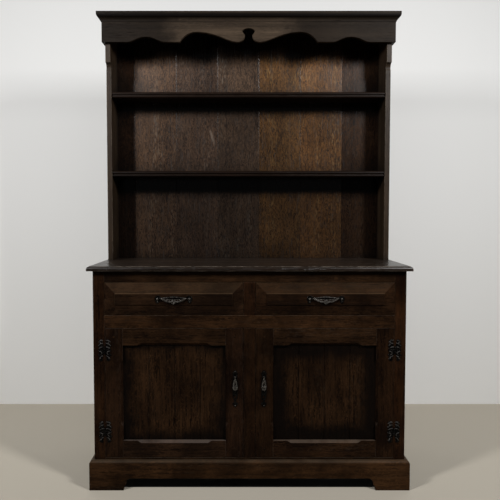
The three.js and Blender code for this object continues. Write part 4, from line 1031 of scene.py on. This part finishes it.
def backing_plate(name, place_on, body):
    """A thin oval plate behind the ribs of a hinge leaf."""
    inner, outer = place_on(BACKING_SHARES["inner"], 0), place_on(BACKING_SHARES["outer"], 0)
    half_height = (place_on(0, BACKING_SHARES["half_height"]) - place_on(0, 0)).length
    builder = bmesh.new()
    disc = dict(segments=BACKING_SIDES, radius1=1, radius2=1, depth=BACKING_DEPTH)
    bmesh.ops.create_cone(builder, cap_ends=True, **disc)
    bmesh.ops.rotate(builder, matrix=TO_THE_FRONT, verts=builder.verts)
    bmesh.ops.scale(builder, vec=((outer - inner).length / 2, 1, half_height), verts=builder.verts)
    centre = (inner + outer) / 2
    centre.y = DOOR_FACE_Y - BACKING_DEPTH / 2
    bmesh.ops.translate(builder, vec=centre, verts=builder.verts)
    new_piece(name, builder, body, BLACK_IRON)


LEAF_PLACES = {}
for side, outward in OUTWARD.items():
    for level in ("lower", "upper"):
        frame_leaf, door_leaf = f"hinge_{side}_{level}_frame_leaf", f"hinge_{side}_{level}_door_leaf"
        pin_x = pin_place(frame_leaf, door_leaf)
        leaves = ((frame_leaf, outward, "carcass"), (door_leaf, -outward, f"door_{side}"))
        for leaf, direction, body in leaves:
            place_on = leaf_places(leaf, direction, pin_x)
            lines = [[place_on(u, v) for u, v in shares] for shares in HINGE_RIB_SHARES]
            drawn_ribs(f"{leaf}_ribs", lines, RIB_RADIUS, body, WORN_AND_HIGHLIT_IRON)
            backing_plate(f"{leaf}_backing", place_on, body)
            LEAF_PLACES[leaf] = (place_on, body)
print("ribs drawn on", len(LEAF_PLACES), "leaves")

# %% [markdown]
# ## Lattice and bow of the drawer pulls
# The bow of each bail is filled with a waving lattice, and a shallow bow stands on the plate behind
# it. Both are drawn as the ribs of the hinges were. The lattice is given by shares of the bail's
# half width and of its height, and rides on the bail. The bow is given by shares of the plate's half
# sizes, and rides on the drawer.

# %% Draw the lattice and the bow of the drawer pulls
LATTICE_RADIUS = 0.9 * MM
BAIL_RAIL_SHARES = [(-0.8, 0.86), (-0.4, 0.76), (0.0, 0.72), (0.4, 0.76), (0.8, 0.86)]
BAIL_WAVE_SHARES = [
    (-0.68, 0.8), (-0.52, 0.52), (-0.37, 0.76), (-0.22, 0.42), (0.0, 0.72),
    (0.22, 0.42), (0.37, 0.76), (0.52, 0.52), (0.68, 0.8),
]
PULL_BOW_SHARES = [(-0.8, 0.2), (-0.4, 0.52), (0.0, 0.66), (0.4, 0.52), (0.8, 0.2)]


def plate_places(plate, shares, depth):
    """Shares of half a pull plate's size as places, at a depth in front of its back."""
    back_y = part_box(plate)[1].y
    middle, half = middle_and_half(plate)
    return [Vector((middle.x + u * half.x, back_y - depth, middle.z + v * half.z)) for u, v in shares]


for side in SIDES:
    bail, plate = f"drawer_{side}_bail", f"drawer_{side}_pull_plate"
    low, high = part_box(bail)
    middle, half = middle_and_half(bail)
    lines = [
        [Vector((middle.x + u * half.x, middle.y, low.z + v * (high.z - low.z))) for u, v in shares]
        for shares in (BAIL_RAIL_SHARES, BAIL_WAVE_SHARES)
    ]
    drawn_ribs(f"{bail}_lattice", lines, LATTICE_RADIUS, f"{bail}_swing", RUBBED_IRON)
    bow = plate_places(plate, PULL_BOW_SHARES, RIB_LIFT)
    drawn_ribs(f"{plate}_bow", [bow], RIB_RADIUS, f"drawer_{side}", RUBBED_IRON)
print("lattice and bow drawn on", len(SIDES), "pulls")

# %% [markdown]
# ## Nails and knobs
# Round-headed nails hold every leaf and plate, and the drawer pulls end in a small ball on each side.
# A head is a sphere pressed flat and sunk halfway into its plate, so only its dome shows.

# %% Set the nails and knobs
NAIL_RADIUS = 2.0 * MM
NAIL_FLATNESS = 0.6
KNOB_RADIUS = 5.0 * MM
KNOB_FLATNESS = 0.9
DOME_SIDES, DOME_RINGS = 14, 8
PULL_PLATE_DEPTH = 2.4 * MM
LEAF_NAIL_SHARES = [(0.62, 0.72), (0.62, -0.72)]
PULL_NAIL_SHARES = {"drawer": [(-0.86, -0.6), (0.86, -0.6)], "door": [(0.0, 0.93), (0.0, -0.93)]}
KNOB_SHARES = [(-0.85, 0.12), (0.85, 0.12)]


def domes(name, places, radius, flatness, body, material):
    """Low domes at the given places, as one mesh."""
    builder = bmesh.new()
    ball = dict(u_segments=DOME_SIDES, v_segments=DOME_RINGS, radius=radius)
    for place in places:
        dome = bmesh.ops.create_uvsphere(builder, **ball)["verts"]
        bmesh.ops.scale(builder, vec=(1, flatness, 1), verts=dome)
        bmesh.ops.translate(builder, vec=place, verts=dome)
    new_piece(name, builder, body, material)


for leaf, (place_on, body) in LEAF_PLACES.items():
    places = [place_on(u, v) for u, v in LEAF_NAIL_SHARES]
    domes(f"{leaf}_nails", places, NAIL_RADIUS, NAIL_FLATNESS, body, WORN_AND_HIGHLIT_IRON)
for side in SIDES:
    for kind, shares in PULL_NAIL_SHARES.items():
        plate, body = f"{kind}_{side}_pull_plate", f"{kind}_{side}"
        nails = plate_places(plate, shares, PULL_PLATE_DEPTH)
        domes(f"{plate}_nails", nails, NAIL_RADIUS, NAIL_FLATNESS, body, RUBBED_IRON)
    plate, body = f"drawer_{side}_pull_plate", f"drawer_{side}"
    knobs = plate_places(plate, KNOB_SHARES, PULL_PLATE_DEPTH)
    domes(f"{plate}_knobs", knobs, KNOB_RADIUS, KNOB_FLATNESS, body, RUBBED_IRON)
print("nails and knobs set on", len(LEAF_PLACES), "leaves and", 2 * len(SIDES), "plates")

# %% [markdown]
# ## Pegs of the door joints
# The rails of a door are tenoned into its stiles, and an oak peg through each joint keeps it from
# ever drawing apart. The pegs are cut off by hand, so they stand a hair proud with a rounded rim.

# %% Drive the pegs
PEG_RADIUS = 4.0 * MM
PEG_PROUD = 0.4 * MM
PEG_DEPTH = 6.0 * MM
PEG_RIM = 0.3 * MM
PEG_SIDES = 20
PEG_SHADE = (0.7, 0.65, 0.6)
peg_oak = oak("peg_oak", "base", "y", PEG_SHADE)


def pegs(name, places, body):
    """Round pegs with a bevelled rim at the given places of a face, as one mesh."""
    builder = bmesh.new()
    rod = dict(segments=PEG_SIDES, radius1=PEG_RADIUS, radius2=PEG_RADIUS, depth=PEG_DEPTH)
    sunk = Vector((0, PEG_DEPTH / 2 - PEG_PROUD, 0))
    for place in places:
        peg = bmesh.ops.create_cone(builder, cap_ends=True, **rod)["verts"]
        bmesh.ops.rotate(builder, matrix=TO_THE_FRONT, verts=peg)
        bmesh.ops.translate(builder, vec=place + sunk, verts=peg)
    front_y = places[0].y - PEG_PROUD
    rims = [edge for edge in builder.edges if lies_in_front(edge, front_y)]
    bmesh.ops.bevel(builder, geom=rims, offset=PEG_RIM, segments=2, profile=0.5, affect="EDGES", material=-1)
    new_piece(name, builder, body, peg_oak)


for side in SIDES:
    door = f"door_{side}"
    places = []
    for rail in ("top", "bottom"):
        rail_middle, _ = middle_and_half(f"{door}_{rail}_rail")
        for stile in ("hinge", "meeting"):
            stile_middle, stile_half = middle_and_half(f"{door}_{stile}_stile")
            places.append(Vector((stile_middle.x, stile_middle.y - stile_half.y, rail_middle.z)))
    pegs(f"{door}_pegs", places, door)
print("pegs driven", len(places), "in each door")

# %% [markdown]
# ## Paint for the studio
# A backdrop is matt, and painted shade makes its brightness change slowly along one axis.
# A wall would hide the dresser from behind, so the paint can leave the back of a plane unseen: the
# shader then gives way to a transparent one wherever a ray meets the back.

# %% Mix the studio paint
STUDIO_ROUGHNESS = 0.8


def painted_shade_gradient(tree, colour, fade):
    """A colour darkened slowly along one axis by painted shade."""
    reached = along(tree, object_place(tree), fade["axis"])
    ends = {"Value": reached, "From Min": fade["start"], "From Max": fade["end"]}
    share = put(tree, "ShaderNodeMapRange", ends).outputs[0]
    return mix(tree, "RGBA", 1.0, graded(tree, share, fade["shares"]), colour, how="MULTIPLY")


def studio_paint(name, colour, fade, see_through_back):
    """The matt paint of the studio, which may leave the back of a plane unseen."""
    material, tree, shader = new_material(name)
    shader.inputs["Base Color"].default_value = colour
    shader.inputs["Roughness"].default_value = STUDIO_ROUGHNESS
    if fade:
        tree.links.new(painted_shade_gradient(tree, colour, fade), shader.inputs["Base Color"])
    if see_through_back:
        behind = put(tree, "ShaderNodeNewGeometry").outputs["Backfacing"]
        clear = put(tree, "ShaderNodeBsdfTransparent").outputs[0]
        both = put(tree, "ShaderNodeMixShader", {0: behind, 1: shader.outputs[0], 2: clear})
        tree.links.new(both.outputs[0], tree.nodes["Material Output"].inputs["Surface"])
    return material


print("studio paint ready, roughness", STUDIO_ROUGHNESS)

# %% [markdown]
# ## Floor and wall
# The dresser stands on a pale floor before a pale wall. The wall is painted darker towards the top
# and the floor towards the front, as painted shade. A black card on the floor under the dresser is
# a painted shadow.

# %% Build the floor and the wall
WALL_Y = 0.745
STUDIO_HALF = 8.0
WALL_HEIGHT = 4.5
CARD_MIDDLE_Y = 0.013
CARD_HALF_SIZES = (0.57, 0.188)
CARD_LIFT = 0.5 * MM
WALL_COLOUR = (0.95, 0.95, 0.94, 1)
FLOOR_COLOUR = (0.55, 0.5, 0.415, 1)
CARD_COLOUR = (0.002, 0.002, 0.002, 1)
# Painted shade on the wall and the floor: shares of brightness along one axis.
WALL_PAINTED_SHADE = {
    "axis": Z, "start": 0.0, "end": 2.2,
    "shares": [(0, 1), (0.45, 0.9), (0.7, 0.84), (0.82, 0.72), (1, 0.68)],
}
FLOOR_PAINTED_SHADE = {"axis": Y, "start": -0.25, "end": 0.75, "shares": [(0, 0.74), (0.5, 0.87), (1, 1)]}


def stage_plane(name, matrix, half_sizes, colour, fade=None, see_through_back=False):
    """A flat rectangle of the studio."""
    builder = bmesh.new()
    bmesh.ops.create_grid(builder, x_segments=1, y_segments=1, size=1)
    bmesh.ops.scale(builder, vec=(*half_sizes, 1), verts=builder.verts)
    bmesh.ops.transform(builder, matrix=matrix, verts=builder.verts)
    plane = new_object(name, builder, studio_paint(name, colour, fade, see_through_back))


upright = Matrix.Translation((0, WALL_Y, WALL_HEIGHT / 2)) @ Matrix.Rotation(QUARTER_TURN, 4, "X")
lying = Matrix.Translation((0, CARD_MIDDLE_Y, CARD_LIFT))
stage_plane("wall", upright, (STUDIO_HALF, WALL_HEIGHT / 2), WALL_COLOUR, WALL_PAINTED_SHADE, see_through_back=True)
stage_plane("floor", Matrix.Identity(4), (STUDIO_HALF, STUDIO_HALF), FLOOR_COLOUR, FLOOR_PAINTED_SHADE)
# The black card paints the shadow under the dresser on the floor.
stage_plane("painted_shadow_card", lying, CARD_HALF_SIZES, CARD_COLOUR)
print("floor", 2 * STUDIO_HALF, "wide, wall at", WALL_Y)

# %% [markdown]
# ## Light
# Two soft lamps stand to the left and right of the camera, well above its height. Their places
# follow from the shadows: the frieze and the shelves throw longer shadows the lower they are, and
# each side of the rack shades the outermost board on its own side. A weak white world fills the
# shadows, as the walls of a room do.

# %% Hang the lamps
LAMP_SIZE = (0.35, 0.6)
LAMP_POWER = 60
LAMP_AIM = Vector((0, 0.1, 1.15))
LAMP_PLACES = {"lamp_left": Vector((-1.7, -1.65, 2.32)), "lamp_right": Vector((1.5, -1.65, 2.32))}
WORLD_COLOUR = (1, 1, 1, 1)
WORLD_STRENGTH = 0.06


def soft_light(name, place):
    """A rectangular soft light that faces the middle of the dresser."""
    data = bpy.data.lights.new(name, "AREA")
    data.shape = "RECTANGLE"
    data.size, data.size_y = LAMP_SIZE
    data.energy = LAMP_POWER
    light = bpy.data.objects.new(name, data)
    light.location = place
    light.rotation_euler = (LAMP_AIM - place).to_track_quat("-Z", "Y").to_euler()
    bpy.context.scene.collection.objects.link(light)


for name, place in LAMP_PLACES.items():
    soft_light(name, place)
world = bpy.data.worlds.new("room")
world.use_nodes = True
world.node_tree.nodes["Background"].inputs["Color"].default_value = WORLD_COLOUR
world.node_tree.nodes["Background"].inputs["Strength"].default_value = WORLD_STRENGTH
bpy.context.scene.world = world
print("lights", [item.name for item in bpy.data.lights])
